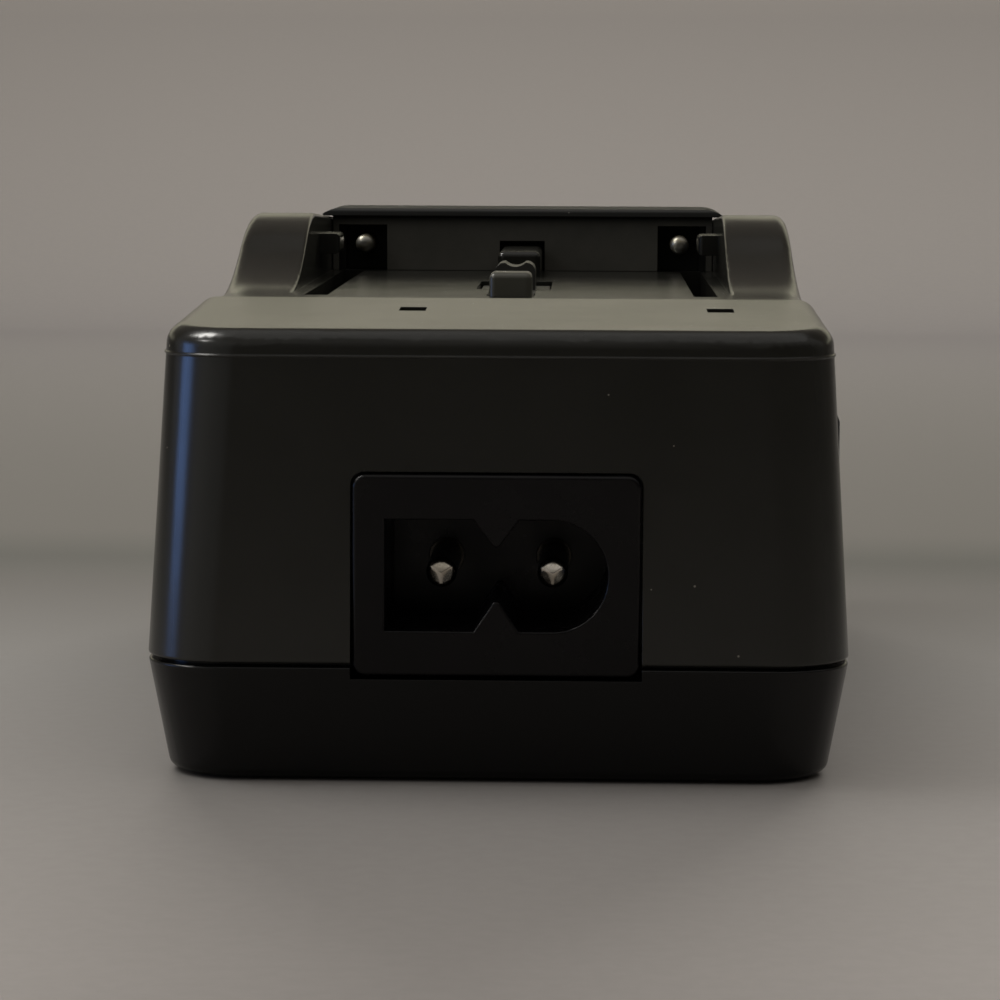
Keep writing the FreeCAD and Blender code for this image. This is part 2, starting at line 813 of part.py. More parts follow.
def hook_solid(side):
    """Tab on the ear's inner wall with rounded ends."""
    y1 = wall_face - hook_from_wall
    y0 = y1 - hook_length
    x1 = bay_width / 2 + 0.6
    x0 = bay_width / 2 - hook_reach
    z0 = floor_level + hook_level
    hook = box(x0, x1, y0, y1, z0, z0 + hook_height)

    def inner_end(edge):
        b = edge.BoundBox
        return abs(b.XMin - x0) < 0.01 and abs(b.XMax - x0) < 0.01

    hook = round_edges(hook, hook_radius, inner_end)
    return hook if side > 0 else mirrored(hook)


def rail_solid():
    """Guide rail that stands on the floor and ends behind the terminal wall's face."""
    rail = box(
        -rail_width / 2, rail_width / 2, wall_face - rail_length, wall_face + rail_tail,
        floor_level - 0.5, floor_level + rail_height,
    )
    top = floor_level + rail_height
    y0 = wall_face - rail_length

    def rounded(edge):
        b = edge.BoundBox
        along_top = level_edge(edge, top) and b.YMin < wall_face
        front_sides = abs(b.YMin - y0) < 0.01 and abs(b.YMax - y0) < 0.01 and b.ZMax - b.ZMin > 1.0
        return along_top or front_sides

    return round_edges(rail, rail_radius, rounded)


def contact_passage(side):
    """Hole in the floor for a contact's tail and lead."""
    x = side * contact_spacing / 2
    y0 = wall_face + window_depth + carrier_thickness + 0.3
    return box(x - 1.9, x + 1.9, y0, y0 + 3.6, floor_underside - 2.0, floor_level + 1.0)


def catch_opening():
    """T-shaped opening for the catch's nose and wings."""
    narrow = box(
        -nose_width / 2 - catch_side_gap, nose_width / 2 + catch_side_gap,
        nose_face - catch_side_gap, nose_face + wing_setback + 1.0,
        floor_underside - 1.0, floor_level + 1.0,
    )
    y0 = nose_face + wing_setback - catch_end_gap
    wide = box(
        -wing_width / 2 - catch_side_gap, wing_width / 2 + catch_side_gap,
        y0, nose_face + wing_setback + wing_length + catch_end_gap,
        floor_underside - 1.0, floor_level + 1.0,
    )
    return narrow.fuse(wide)


def flange_span():
    """Half width, Y from and Y to of the catch's retaining flange."""
    half = wing_width / 2 + flange_margin
    return half, nose_face - flange_margin, nose_face + wing_setback + wing_length + flange_margin


def well_bottom():
    return floor_underside - catch_stop_gap - flange_thickness - spring_length


def catch_well_outer():
    half, y0, y1 = flange_span()
    half += well_side_gap + well_wall
    return box(
        -half, half, y0 - well_side_gap - well_end_wall, y1 + well_side_gap + well_end_wall,
        well_bottom(), floor_underside + 0.5,
    )


def catch_well_inner():
    half, y0, y1 = flange_span()
    half += well_side_gap
    return box(-half, half, y0 - well_side_gap, y1 + well_side_gap, well_bottom() - 1.0, floor_underside)


def retainer_screw_places():
    half, y0, y1 = flange_span()
    away = well_side_gap + well_end_wall / 2
    return [(0.0, y0 - away), (0.0, y1 + away)]


def spring_place():
    half, y0, y1 = flange_span()
    return 0.0, (y0 + y1) / 2


def make_catch():
    """Nose, saddle and wings on a flange that stays under the bay floor."""
    half, y0, y1 = flange_span()
    flange_top = floor_underside - catch_stop_gap
    flange_low = flange_top - flange_thickness
    nose = box(
        -nose_width / 2, nose_width / 2, nose_face, nose_face + nose_length,
        flange_top - 0.5, floor_level + nose_height,
    )
    nose_top = floor_level + nose_height
    rounded = lambda e: level_edge(e, nose_top) or standing_at(e, nose_face, floor_level)
    nose = round_edges(nose, nose_radius, rounded)
    saddle_top = floor_level + saddle_height
    saddle_front = nose_face + saddle_setback
    saddle = box(
        -saddle_width / 2, saddle_width / 2, saddle_front, saddle_front + saddle_length,
        flange_top - 0.5, saddle_top,
    )
    along = lambda e: level_edge(e, saddle_top) and e.BoundBox.YMax - e.BoundBox.YMin > 1.0
    saddle = round_edges(saddle, saddle_radius, along)
    dip = rod(
        saddle_dip_radius, saddle_length + 2.0, 0.0, saddle_front - 1.0,
        saddle_top - saddle_dip + saddle_dip_radius, Vector(0, 1, 0),
    )
    saddle = saddle.cut(dip)
    wing_top = floor_level - wing_drop
    wings = box(
        -wing_width / 2, wing_width / 2, nose_face + wing_setback,
        nose_face + wing_setback + wing_length, flange_top - 0.5, wing_top,
    )
    link = box(
        -nose_width / 2, nose_width / 2, nose_face + 1.0, nose_face + wing_setback + 1.0,
        flange_top - 0.5, wing_top,
    )
    flange = box(-half, half, y0, y1, flange_low, flange_top)
    x, y = spring_place()
    post = rod(spring_post_radius, spring_post_height, x, y, flange_low - spring_post_height)
    catch = flange
    for piece in (nose, saddle, wings, link, post):
        catch = catch.fuse(piece)
    return catch.removeSplitter()


def standing_at(edge, y, z):
    """An upright edge at a Y that reaches above a height."""
    b = edge.BoundBox
    return abs(b.YMin - y) < 0.01 and abs(b.YMax - y) < 0.01 and b.ZMax > z and b.ZMax - b.ZMin > 0.5


def arc_from(start, heading, end):
    """Arc that leaves a point in a direction and ends in another point."""
    chord = end - start
    along = Vector(chord).normalize()
    bulge = (heading - along * heading.dot(along)).normalize()
    half_turn = heading.getAngle(along) / 2
    middle = start + chord * 0.5 + bulge * (chord.Length / 2 * math.tan(half_turn))
    return Part.Arc(start, middle, end).toShape()


def make_catch_spring():
    """Compression spring: a helix drawn with pairs of arcs."""
    x, y = spring_place()
    low = well_bottom() + spring_wire / 2 + seat
    high = floor_underside - catch_stop_gap - flange_thickness - spring_wire / 2 - seat
    steps = round(spring_turns * spring_arcs)
    rise = (high - low) / steps
    lead_angle = math.atan(rise * spring_arcs / (2 * math.pi * spring_radius))
    places = []
    headings = []
    for i in range(steps + 1):
        turn = 2 * math.pi * i / spring_arcs
        around = Vector(spring_radius * math.cos(turn), spring_radius * math.sin(turn), 0)
        places.append(Vector(x, y, low + rise * i) + around)
        level = Vector(-math.sin(turn), math.cos(turn), 0) * math.cos(lead_angle)
        headings.append(level + Vector(0, 0, math.sin(lead_angle)))
    edges = []
    for i in range(steps):
        chord = places[i + 1] - places[i]
        toward = chord.dot(headings[i] + headings[i + 1])
        bend = 2 * (1 - headings[i].dot(headings[i + 1]))
        reach = (math.sqrt(toward ** 2 + bend * chord.dot(chord)) - toward) / bend
        first = places[i] + headings[i] * reach
        second = places[i + 1] - headings[i + 1] * reach
        join = (first + second) * 0.5
        edges.append(arc_from(places[i], headings[i], join))
        edges.append(arc_from(join, (second - first).normalize(), places[i + 1]))
    path = Part.Wire(edges)
    profile = Part.Wire([Part.makeCircle(spring_wire / 2, places[0], headings[0])])
    return path.makePipeShell([profile], True, False)


def make_catch_retainer():
    half, y0, y1 = flange_span()
    half += well_side_gap + well_wall
    top = well_bottom() - seat
    plate = box(
        -half, half, y0 - well_side_gap - well_end_wall, y1 + well_side_gap + well_end_wall,
        top - retainer_thickness, top,
    )
    x, y = spring_place()
    plate = plate.fuse(rod(spring_post_radius, spring_post_height, x, y, top))
    for x, y in retainer_screw_places():
        plate = plate.cut(rod(small_hole_radius + 0.1, 5.0, x, y, top - 3.0))
    return plate.removeSplitter()


def ear_level(y):
    """Height of the ears' tops behind their highest line."""
    return ear_top - math.tan(math.radians(ear_fall)) * (y - ear_crown_y())


def hood_outline(half, bottom):
    """Outline of the terminal housing seen from the front, its hood over the ears' tops."""
    tip_x = bay_width / 2 + hood_overhang
    under = ear_level(wall_face - hood_reach) + hood_lift
    drop = housing_top - under - hood_tip
    flat_x = tip_x - math.sqrt(hood_corner_radius ** 2 - (hood_corner_radius - drop) ** 2)
    turn = math.asin((tip_x - flat_x) / hood_corner_radius) / 2
    middle = Vector(
        flat_x + hood_corner_radius * math.sin(turn), 0,
        housing_top - hood_corner_radius * (1 - math.cos(turn)),
    )
    steps = [(half, bottom), (half, under), (tip_x, under), (tip_x, under + hood_tip)]
    right = [Vector(step_x, 0, step_z) for step_x, step_z in steps]
    left = [Vector(-p.x, 0, p.z) for p in right]
    top_right = Vector(flat_x, 0, housing_top)
    top_left = Vector(-flat_x, 0, housing_top)
    edges = [Part.makeLine(left[0], right[0])]
    edges += [Part.makeLine(a, b) for a, b in zip(right, right[1:])]
    edges.append(Part.Arc(right[-1], middle, top_right).toShape())
    edges.append(Part.makeLine(top_right, top_left))
    edges.append(Part.Arc(top_left, Vector(-middle.x, 0, middle.z), left[-1]).toShape())
    edges += [Part.makeLine(a, b) for a, b in zip(left[::-1], left[::-1][1:])]
    return Part.Face(Part.Wire(edges))


def make_terminal_housing():
    """Dark block between the ears: windows, hood, rail notch and contact carrier."""
    half = bay_width / 2 - housing_gap
    bottom = floor_level + seat
    back = rear - 1.0 - upper_lean * (deck_height - seam_height)
    outline = [
        (wall_face, bottom),
        (wall_face, housing_top - hood_height),
        (wall_face - hood_reach, housing_top - hood_height + 0.25),
        (wall_face - hood_reach, housing_top),
        (back, housing_top),
        (back, bottom),
    ]
    housing = side_profile(outline, -bay_width, bay_width)
    across_top = lambda e: level_edge(e, housing_top) and e.BoundBox.XMax - e.BoundBox.XMin > 5.0
    housing = round_edges(housing, hood_edge_radius, across_top)
    front_form = hood_outline(half, bottom).extrude(Vector(0, overall_length, 0))
    housing = housing.common(front_form)

    window_z = floor_level + window_height
    wall_back = wall_face + housing_wall
    carrier_y = wall_face + window_depth
    chamber = box(-half + 1.2, half - 1.2, wall_back, carrier_y, bottom - 1.0, housing_top - housing_wall)
    rear_chamber = box(
        -half + 1.2, half - 1.2, carrier_y + carrier_thickness, back - housing_wall,
        bottom - 1.0, housing_top - housing_wall,
    )
    housing = housing.cut(chamber).cut(rear_chamber)
    for side in (-1, 1):
        x = side * window_spacing / 2
        housing = housing.cut(box(
            x - window_width / 2, x + window_width / 2, wall_face - 1.0, wall_back + 0.5,
            bottom - 1.0, window_z,
        ))
        pin_x = side * contact_spacing / 2
        housing = housing.cut(rod(
            contact_radius + contact_fit, 20.0, pin_x, carrier_y - 1.0, floor_level + contact_level,
            Vector(0, 1, 0),
        ).common(box(-100, 100, carrier_y - 1.0, carrier_y + carrier_thickness + 0.1, 0, 100)))
    notch = box(
        -rail_width / 2 - notch_side_gap, rail_width / 2 + notch_side_gap, wall_face - 3.0, wall_back + 0.5,
        bottom - 1.0, floor_level + rail_height + notch_gap,
    )
    housing = housing.cut(notch)
    for x, y in housing_screw_places():
        boss = rod(2.6, housing_height - 1.0, x, y, bottom)
        housing = housing.fuse(boss)
        housing = housing.cut(rod(small_hole_radius, small_screw_length, x, y, bottom - 1.0))
    return housing.removeSplitter()


def make_contact_pins():
    """Two round contacts with domed tips and collars behind the carrier."""
    pins = []
    start = wall_face - contact_reach
    collar_y = wall_face + window_depth + carrier_thickness + seat
    along = Vector(0, 1, 0)
    for side in (-1, 1):
        x = side * contact_spacing / 2
        z = floor_level + contact_level
        pin = rod(contact_radius, collar_y + 0.2 - start, x, start, z, along)
        pin = round_edges(pin, contact_radius * 0.8, lambda e: abs(e.BoundBox.YMax - start) < 0.01)
        collar = rod(contact_collar_radius, contact_collar, x, collar_y, z, along)
        tail = rod(contact_radius * 0.6, contact_tail - 0.6, x, collar_y + 0.3, z, along)
        pins.append(pin.fuse(collar).fuse(tail).removeSplitter())
    return Part.makeCompound(pins)


def socket_outline(y):
    """Figure-8 outline, square on the left and round on the right, with two V notches."""
    h = socket_height / 2
    r = socket_round_radius
    w = socket_half_width
    n = notch_half_width
    centre = w - r
    z0 = inlet_level

    def at(x, z):
        return Vector(x, y, z0 + z)

    top_tip = h - top_notch_depth
    bottom_tip = -h + bottom_notch_depth
    t = notch_tip_radius
    edges = [
        Part.makeLine(at(-w, -h), at(-w, h)),
        Part.makeLine(at(-w, h), at(-n, h)),
        Part.makeLine(at(-n, h), at(-t, top_tip + 0.3)),
        Part.Arc(at(-t, top_tip + 0.3), at(0, top_tip), at(t, top_tip + 0.3)).toShape(),
        Part.makeLine(at(t, top_tip + 0.3), at(n, h)),
        Part.makeLine(at(n, h), at(centre, h)),
        Part.Arc(at(centre, h), at(w, 0), at(centre, -h)).toShape(),
        Part.makeLine(at(centre, -h), at(n, -h)),
        Part.makeLine(at(n, -h), at(t, bottom_tip - 0.3)),
        Part.Arc(at(t, bottom_tip - 0.3), at(0, bottom_tip), at(-t, bottom_tip - 0.3)).toShape(),
        Part.makeLine(at(-t, bottom_tip - 0.3), at(-n, -h)),
        Part.makeLine(at(-n, -h), at(-w, -h)),
    ]
    return Part.Wire(edges)


def make_inlet_housing():
    face = -inlet_face
    middle = (flange_bottom + flange_top) / 2
    half_h = (flange_top - flange_bottom) / 2
    outline = rounded_outline(flange_width / 2, half_h, flange_radius, 0.0, middle)
    flange = Part.Face(outline).extrude(Vector(0, 0, wall + 0.6))
    flange.rotate(Vector(0, 0, 0), Vector(1, 0, 0), 90.0)
    flange.translate(Vector(0, face + wall + 0.6, 0))
    flange = round_edges(flange, flange_edge_radius, lambda e: abs(e.BoundBox.YMax - face) < 0.01)
    collar_y = front + wall + upper_lean * (flange_top - seam_height) + 0.12
    collar = box(
        -collar_width / 2, collar_width / 2, collar_y, collar_y + collar_thickness,
        flange_bottom + 2.0, flange_top + collar_rise,
    )
    body = box(
        -inlet_body_width / 2, inlet_body_width / 2, face + 1.0, face + inlet_body_depth,
        inlet_level - inlet_body_height / 2, inlet_level + inlet_body_height / 2,
    )
    neck = box(
        -flange_width / 2 + 0.4, flange_width / 2 - 0.4, face + 1.0, collar_y + 0.4,
        flange_bottom + 2.0, flange_top - 0.4,
    )
    housing = flange.fuse(neck).fuse(collar).fuse(body)
    cavity = Part.Face(socket_outline(face - 0.5)).extrude(Vector(0, socket_depth + 0.5, 0))
    housing = housing.cut(cavity)
    for x in pins_x:
        housing = housing.cut(rod(
            pin_root_radius + pin_fit, inlet_body_depth, x, face + socket_depth - 1.0, inlet_level,
            Vector(0, 1, 0),
        ))
    mouth = [e for e in housing.Edges if mouth_edge(e, face)]
    housing = housing.makeFillet(flange_edge_radius * 0.6, mouth)
    return housing.removeSplitter()


def mouth_edge(edge, face):
    b = edge.BoundBox
    in_face = abs(b.YMax - face) < 0.005 and abs(b.YMin - face) < 0.005
    inside = abs(b.XMax) < socket_half_width + 0.1 and abs(b.XMin) < socket_half_width + 0.1
    level = b.ZMax < inlet_level + socket_height / 2 + 0.1 and b.ZMin > inlet_level - socket_height / 2 - 0.1
    return in_face and inside and level


def make_inlet_pins():
    """Two round pins with rounded tips, thicker roots and flattened solder tails."""
    pins = []
    start = -inlet_face + pin_recess
    root = -inlet_face + socket_depth
    end = -inlet_face + inlet_body_depth
    along = Vector(0, 1, 0)
    for x in pins_x:
        pin = rod(pin_radius, end - start, x, start, inlet_level, along)
        pin = round_edges(pin, pin_tip_radius, lambda e: abs(e.BoundBox.YMax - start) < 0.01)
        tail = box(x - 0.9, x + 0.9, end - 0.5, end + pin_tail, inlet_level - 0.4, inlet_level + 0.4)
        eye = rod(0.45, 3.0, x, end + pin_tail - 1.1, inlet_level - 1.5)
        pin = pin.fuse(rod(pin_root_radius, end - root, x, root, inlet_level, along))
        pins.append(pin.fuse(tail).cut(eye).removeSplitter())
    return Part.makeCompound(pins)


def cross_cut(head_radius, x, y, z, down):
    """Cross recess of a screw head; down is -1 for a head seen from below."""
    reach = head_radius * 0.62
    z0, z1 = (z, z + cross_depth) if down < 0 else (z - cross_depth, z)
    first = box(x - reach, x + reach, y - cross_width / 2, y + cross_width / 2, z0, z1)
    second = box(x - cross_width / 2, x + cross_width / 2, y - reach, y + reach, z0, z1)
    return first.fuse(second)


def screw_from_below(x, y, head_z, radius, length, head_radius, head_height):
    """Screw whose head's underside is at head_z and whose shank points up."""
    shank = rod(radius, length, x, y, head_z - 0.1)
    head = rod(head_radius, head_height, x, y, head_z - head_height)
    low = head_z - head_height
    head = round_edges(head, min(0.5, head_height * 0.45), lambda e: level_edge(e, low))
    return head.fuse(shank).cut(cross_cut(head_radius, x, y, low, -1)).removeSplitter()


def screw_from_above(x, y, head_z, radius, length, head_radius, head_height):
    """Screw whose head's underside is at head_z and whose shank points down."""
    shank = rod(radius, length, x, y, head_z - length + 0.1)
    head = rod(head_radius, head_height, x, y, head_z)
    high = head_z + head_height
    head = round_edges(head, min(0.5, head_height * 0.45), lambda e: level_edge(e, high))
    return head.fuse(shank).cut(cross_cut(head_radius, x, y, high, 1)).removeSplitter()


def small_screws(places, head_z, length, from_above=False):
    make = screw_from_above if from_above else screw_from_below
    return Part.makeCompound([
        make(x, y, head_z, small_screw_radius, length, small_head_radius, small_head_height)
        for x, y in places
    ])


def make_casing_screws():
    seat_z = foot_lift + casing_counterbore_depth - seat
    return Part.makeCompound([
        screw_from_below(
            x, y, seat_z, casing_screw_radius, casing_screw_length,
            casing_head_radius, casing_head_height,
        )
        for x, y in post_places()
    ])


def make_feet():
    feet = []
    for x, y in foot_places():
        foot = rod(foot_radius, foot_lift + foot_recess - seat, x, y, 0.0)
        foot = round_edges(foot, 0.35, lambda e: level_edge(e, 0.0))
        feet.append(foot)
    return Part.makeCompound(feet)


def make_rating_plate():
    z0 = foot_lift + label_recess - label_thickness - seat / 2
    plate = box(
        -label_width / 2, label_width / 2, -label_length / 2, label_length / 2, z0, z0 + label_thickness,
    )
    corner = lambda e: abs(e.BoundBox.ZMax - e.BoundBox.ZMin - label_thickness) < 0.01
    return round_edges(plate, 1.5, corner)


def make_lenses():
    """Dark windows that fill the deck's slots from beneath."""
    lenses = []
    under = deck_height - deck_thickness
    for x, y in lens_places():
        stem = box(
            x - lens_width / 2 + lens_fit, x + lens_width / 2 - lens_fit,
            y - lens_length / 2 + lens_fit, y + lens_length / 2 - lens_fit,
            under - 0.2, deck_level(y) - lens_recess,
        )
        flange = box(
            x - lens_width / 2 - lens_flange, x + lens_width / 2 + lens_flange,
            y - lens_length / 2 - lens_flange, y + lens_length / 2 + lens_flange,
            under - lens_flange_thickness, under - seat,
        )
        lenses.append(stem.fuse(flange).removeSplitter())
    return Part.makeCompound(lenses)


def make_indicator_board():
    x0, x1, y0, y1, z0 = indicator_board_span()
    board = box(x0, x1, y0, y1, z0, z0 + indicator_board_thickness)
    for x, y in indicator_screw_places():
        board = board.cut(rod(small_hole_radius + 0.1, 5.0, x, y, z0 - 1.0))
    return board


def make_lamps():
    x0, x1, y0, y1, z0 = indicator_board_span()
    base = z0 + indicator_board_thickness + seat
    lamps = []
    for x, y in lens_places():
        rim = rod(lamp_radius + 0.25, 0.6, x, y, base)
        dome = rod(lamp_radius, lamp_height - seat, x, y, base)
        top = base + lamp_height - seat
        dome = round_edges(dome, lamp_radius * 0.9, lambda e: level_edge(e, top))
        lamps.append(dome.fuse(rim).removeSplitter())
    return Part.makeCompound(lamps)


def lead(points, radius, bend):
    """Insulated lead: straight runs joined by tangent arcs."""
    corners = [Vector(*p) for p in points]
    edges = []
    at = corners[0]
    for i in range(1, len(corners) - 1):
        before = (corners[i] - corners[i - 1]).normalize()
        after = (corners[i + 1] - corners[i]).normalize()
        turn = before.getAngle(after)
        cut_back = bend * math.tan(turn / 2)
        into = corners[i] - before * cut_back
        out = corners[i] + after * cut_back
        inward = (after - before).normalize()
        centre = corners[i] + inward * (bend / math.cos(turn / 2))
        middle = centre + (corners[i] - centre).normalize() * bend
        edges.append(Part.LineSegment(at, into).toShape())
        edges.append(Part.Arc(into, middle, out).toShape())
        at = out
    edges.append(Part.LineSegment(at, corners[-1]).toShape())
    path = Part.Wire(edges)
    direction = (corners[1] - corners[0]).normalize()
    profile = Part.Wire([Part.makeCircle(radius, corners[0], direction)])
    return path.makePipeShell([profile], True, False)


def make_inlet_leads():
    """From the pins' tails down to the board."""
    leads = []
    y_tail = -inlet_face + inlet_body_depth + pin_tail + seat
    for x in pins_x:
        y_down = board_front + 2.2
        leads.append(lead(
            [
                (x, y_tail, inlet_level),
                (x, y_down, inlet_level),
                (x, y_down, board_top + seat),
            ],
            0.7, 1.2,
        ))
    return Part.makeCompound(leads)


def make_contact_leads():
    """From the contacts' tails through the plate down to the board."""
    leads = []
    z = floor_level + contact_level
    y_tail = wall_face + window_depth + carrier_thickness + contact_tail - 0.3 + seat * 2
    y_land = board_rear - lead_landing_inset
    for side in (-1, 1):
        x = side * contact_spacing / 2
        x_land = side * lead_landing_x
        y_drop = y_tail + 1.0
        leads.append(lead(
            [
                (x, y_tail, z),
                (x, y_drop, z),
                (x, y_drop, board_top + 9.0),
                (x_land, y_land, board_top + 7.0),
                (x_land, y_land, board_top + seat),
            ],
            0.6, 0.68,
        ))
    return Part.makeCompound(leads)


def make_lamp_leads():
    """Three leads from the indicator board down to the main board."""
    x0, x1, y0, y1, z0 = indicator_board_span()
    leads = []
    for i in range(3):
        x = lamp_leads_x + (i - 1) * 1.5
        y = y1 - 1.2
        leads.append(lead(
            [
                (x, y, z0 - seat),
                (x, y, board_top + 12.0),
                (x, y + 6.0, board_top + 9.0),
                (x, y + 6.0, board_top + seat),
            ],
            0.5, 1.0,
        ))
    return Part.makeCompound(leads)


def make_main_board():
    board = box(
        -board_half_width, board_half_width, board_front, board_rear, board_level + seat, board_top,
    )
    for x, y in post_places():
        if y > 0:
            board = board.cut(rod(boss_radius + 0.6, 20.0, x, y, 0))
    for x, y in board_screw_places():
        board = board.cut(rod(small_hole_radius + 0.1, 20.0, x, y, 0))
    return board.removeSplitter()


def on_board(dx, dy, z, x, y):
    """Block standing on the board around a point."""
    return box(x - dx / 2, x + dx / 2, y - dy / 2, y + dy / 2, board_top + seat, board_top + z)


# Places of the board's parts: X from the middle, Y from the board's front edge
fuse_x = -14.5
fuse_y = 13.0
varistor_x = 9.0
varistor_y = 8.0
suppressor_x = 15.5
suppressor_y = 18.0
choke_x = -15.0
choke_y = 34.0
bridge_x = -1.0
bridge_y = 15.0
main_capacitor_x = 14.4
main_capacitor_y = 32.5
transformer_x = -1.5
transformer_y = 48.0
sink_x = 18.5
sink_y = 50.0
diode_x = -18.5
diode_y = 50.5
output_capacitor_x = -6.5
output_capacitor_y = 66.5
disc_x = 6.0
disc_y = 63.5
optocoupler_x = 12.5
optocoupler_y = 66.5
chips_x = 6.5
chips_y = 68.5
resistors_x = -1.5
resistors_y = 27.5


def make_fuse():
    y = board_front + fuse_y
    z = board_top + 3.2
    along = Vector(0, 1, 0)
    body = rod(2.5, 14.0, fuse_x, y - 7.0, z, along)
    for start in (y - 10.0, y + 5.0):
        body = body.fuse(rod(2.75, 5.0, fuse_x, start, z, along))
        body = body.fuse(box(
            fuse_x - 1.2, fuse_x + 1.2, start + 1.0, start + 4.0, board_top + seat, z - 2.0,
        ))
    return body.removeSplitter()


def make_varistor():
    y = board_front + varistor_y
    disc = rod(4.2, 3.0, varistor_x, y - 1.5, board_top + 5.6, Vector(0, 1, 0))
    for side in (-1, 1):
        disc = disc.fuse(rod(0.4, 3.5, varistor_x + side * 2.2, y, board_top + seat))
    return disc.removeSplitter()


def make_suppressor():
    block = on_board(6.5, 15.0, 12.0, suppressor_x, board_front + suppressor_y)
    return round_edges(block, 0.6, lambda e: e.BoundBox.ZMax > board_top + 11.9)


def make_choke_core():
    """Ferrite ring, standing, with a base between its windings."""
    y = board_front + choke_y
    z = board_top + 7.2
    ring = rod(6.0, 5.0, choke_x, y - 2.5, z, Vector(0, 1, 0))
    ring = ring.cut(rod(3.0, 7.0, choke_x, y - 3.5, z, Vector(0, 1, 0)))
    base = box(choke_x - 1.0, choke_x + 1.0, y - 2.5, y + 2.5, board_top + seat, board_top + 1.6)
    return ring.fuse(base).removeSplitter()


def make_choke_windings():
    """Two half windings of separate turns round the ring."""
    y = board_front + choke_y
    z = board_top + 7.2
    turns = []
    middle_radius = 4.5
    for side in (-1, 1):
        for i in range(5):
            angle = math.radians(90 + side * (40 + 25 * i))
            square = box(-2.0, 2.0, -3.0, 3.0, -0.45, 0.45)
            hole = box(-1.56, 1.56, -2.56, 2.56, -1.0, 1.0)
            loop = square.cut(hole)
            loop.rotate(Vector(0, 0, 0), Vector(0, 1, 0), -math.degrees(angle))
            loop.translate(Vector(
                choke_x + middle_radius * math.cos(angle), y, z + middle_radius * math.sin(angle),
            ))
            turns.append(loop)
    return Part.makeCompound(turns)


def make_bridge():
    block = on_board(8.0, 6.4, 4.0, bridge_x, board_front + bridge_y)
    lifted = block.cut(on_board(9.0, 9.0, 0.6, bridge_x, board_front + bridge_y))
    for dx in (-3.0, 3.0):
        for dy in (-2.6, 2.6):
            lifted = lifted.fuse(rod(0.4, 1.2, bridge_x + dx, board_front + bridge_y + dy, board_top + seat))
    return lifted.removeSplitter()


def standing_can(radius, height, x, y):
    """Electrolytic capacitor with a pressed ring near its foot."""
    can = rod(radius, height, x, y, board_top + seat)
    can = round_edges(can, 0.6, lambda e: level_edge(e, board_top + seat + height))
    groove = Part.makeTorus(radius + 0.25, 0.5, Vector(x, y, board_top + 2.2), Vector(0, 0, 1))
    return can.cut(groove)


def make_main_capacitor():
    return standing_can(6.3, 20.5, main_capacitor_x, board_front + main_capacitor_y)


def make_output_capacitors():
    return Part.makeCompound([
        standing_can(4.0, 12.0, output_capacitor_x + dx, board_front + output_capacitor_y)
        for dx in (-4.4, 4.4)
    ])


def make_transformer_core():
    """Pair of E cores as one frame round the bobbin."""
    y = board_front + transformer_y
    frame = box(transformer_x - 9.6, transformer_x + 9.6, y - 2.5, y + 2.5, board_top + 1.6, board_top + 15.2)
    for side in (-1, 1):
        x = transformer_x + side * 5.0
        frame = frame.cut(box(x - 2.6, x + 2.6, y - 5.0, y + 5.0, board_top + 4.0, board_top + 12.8))
    return frame


def make_transformer_bobbin():
    y = board_front + transformer_y
    base = box(transformer_x - 10.5, transformer_x + 10.5, y - 8.0, y + 8.0, board_top + seat, board_top + 1.5)
    wall_up = []
    for side in (-1, 1):
        wall_up.append(box(
            transformer_x - 8.8, transformer_x + 8.8, y + side * 6.6 - 0.5, y + side * 6.6 + 0.5,
            board_top + 1.4, board_top + 13.0,
        ))
    for piece in wall_up:
        base = base.fuse(piece)
    return base.removeSplitter()


def make_transformer_winding():
    """Taped winding between the bobbin's walls, round the core's middle leg."""
    y = board_front + transformer_y
    tape = box(transformer_x - 7.4, transformer_x + 7.4, y - 5.9, y + 5.9, board_top + 4.1, board_top + 12.7)
    hole = box(transformer_x - 2.5, transformer_x + 2.5, y - 7.0, y + 7.0, board_top + 3.0, board_top + 14.0)
    side_parts = tape.cut(hole)
    keep = []
    for side in (-1, 1):
        x = transformer_x + side * 5.0
        keep.append(side_parts.common(box(x - 2.45, x + 2.45, y - 6.0, y + 6.0, 0, 60)))
    front_part = box(transformer_x - 7.4, transformer_x + 7.4, y - 5.9, y - 2.6, board_top + 4.1, board_top + 12.7)
    back_part = box(transformer_x - 7.4, transformer_x + 7.4, y + 2.6, y + 5.9, board_top + 4.1, board_top + 12.7)
    winding = front_part.fuse(back_part)
    for piece in keep:
        winding = winding.fuse(piece)
    return winding.removeSplitter()


def make_heat_sink():
    y = board_front + sink_y
    plate = box(sink_x - 0.8, sink_x + 0.8, y - 9.0, y + 9.0, board_top + seat, board_top + 17.0)
    for dy in (-8.3, 8.3):
        plate = plate.fuse(box(
            sink_x - 5.5, sink_x + 0.8, y + dy - 0.7, y + dy + 0.7, board_top + seat, board_top + 17.0,
        ))
    return plate.removeSplitter()


def transistor(x, y):
    """Package on its tab, with three legs down to the board."""
    body = box(x - 2.0, x + 2.0, y - 4.8, y + 4.8, board_top + 4.0, board_top + 13.0)
    for dy in (-2.5, 0.0, 2.5):
        body = body.fuse(box(
            x - 0.3, x + 0.3, y + dy - 0.4, y + dy + 0.4, board_top + seat, board_top + 4.5,
        ))
    return body.removeSplitter()


def make_switching_transistor():
    return transistor(sink_x - 0.8 - 2.0 - seat, board_front + sink_y)


def make_output_diode():
    return transistor(diode_x, board_front + diode_y)


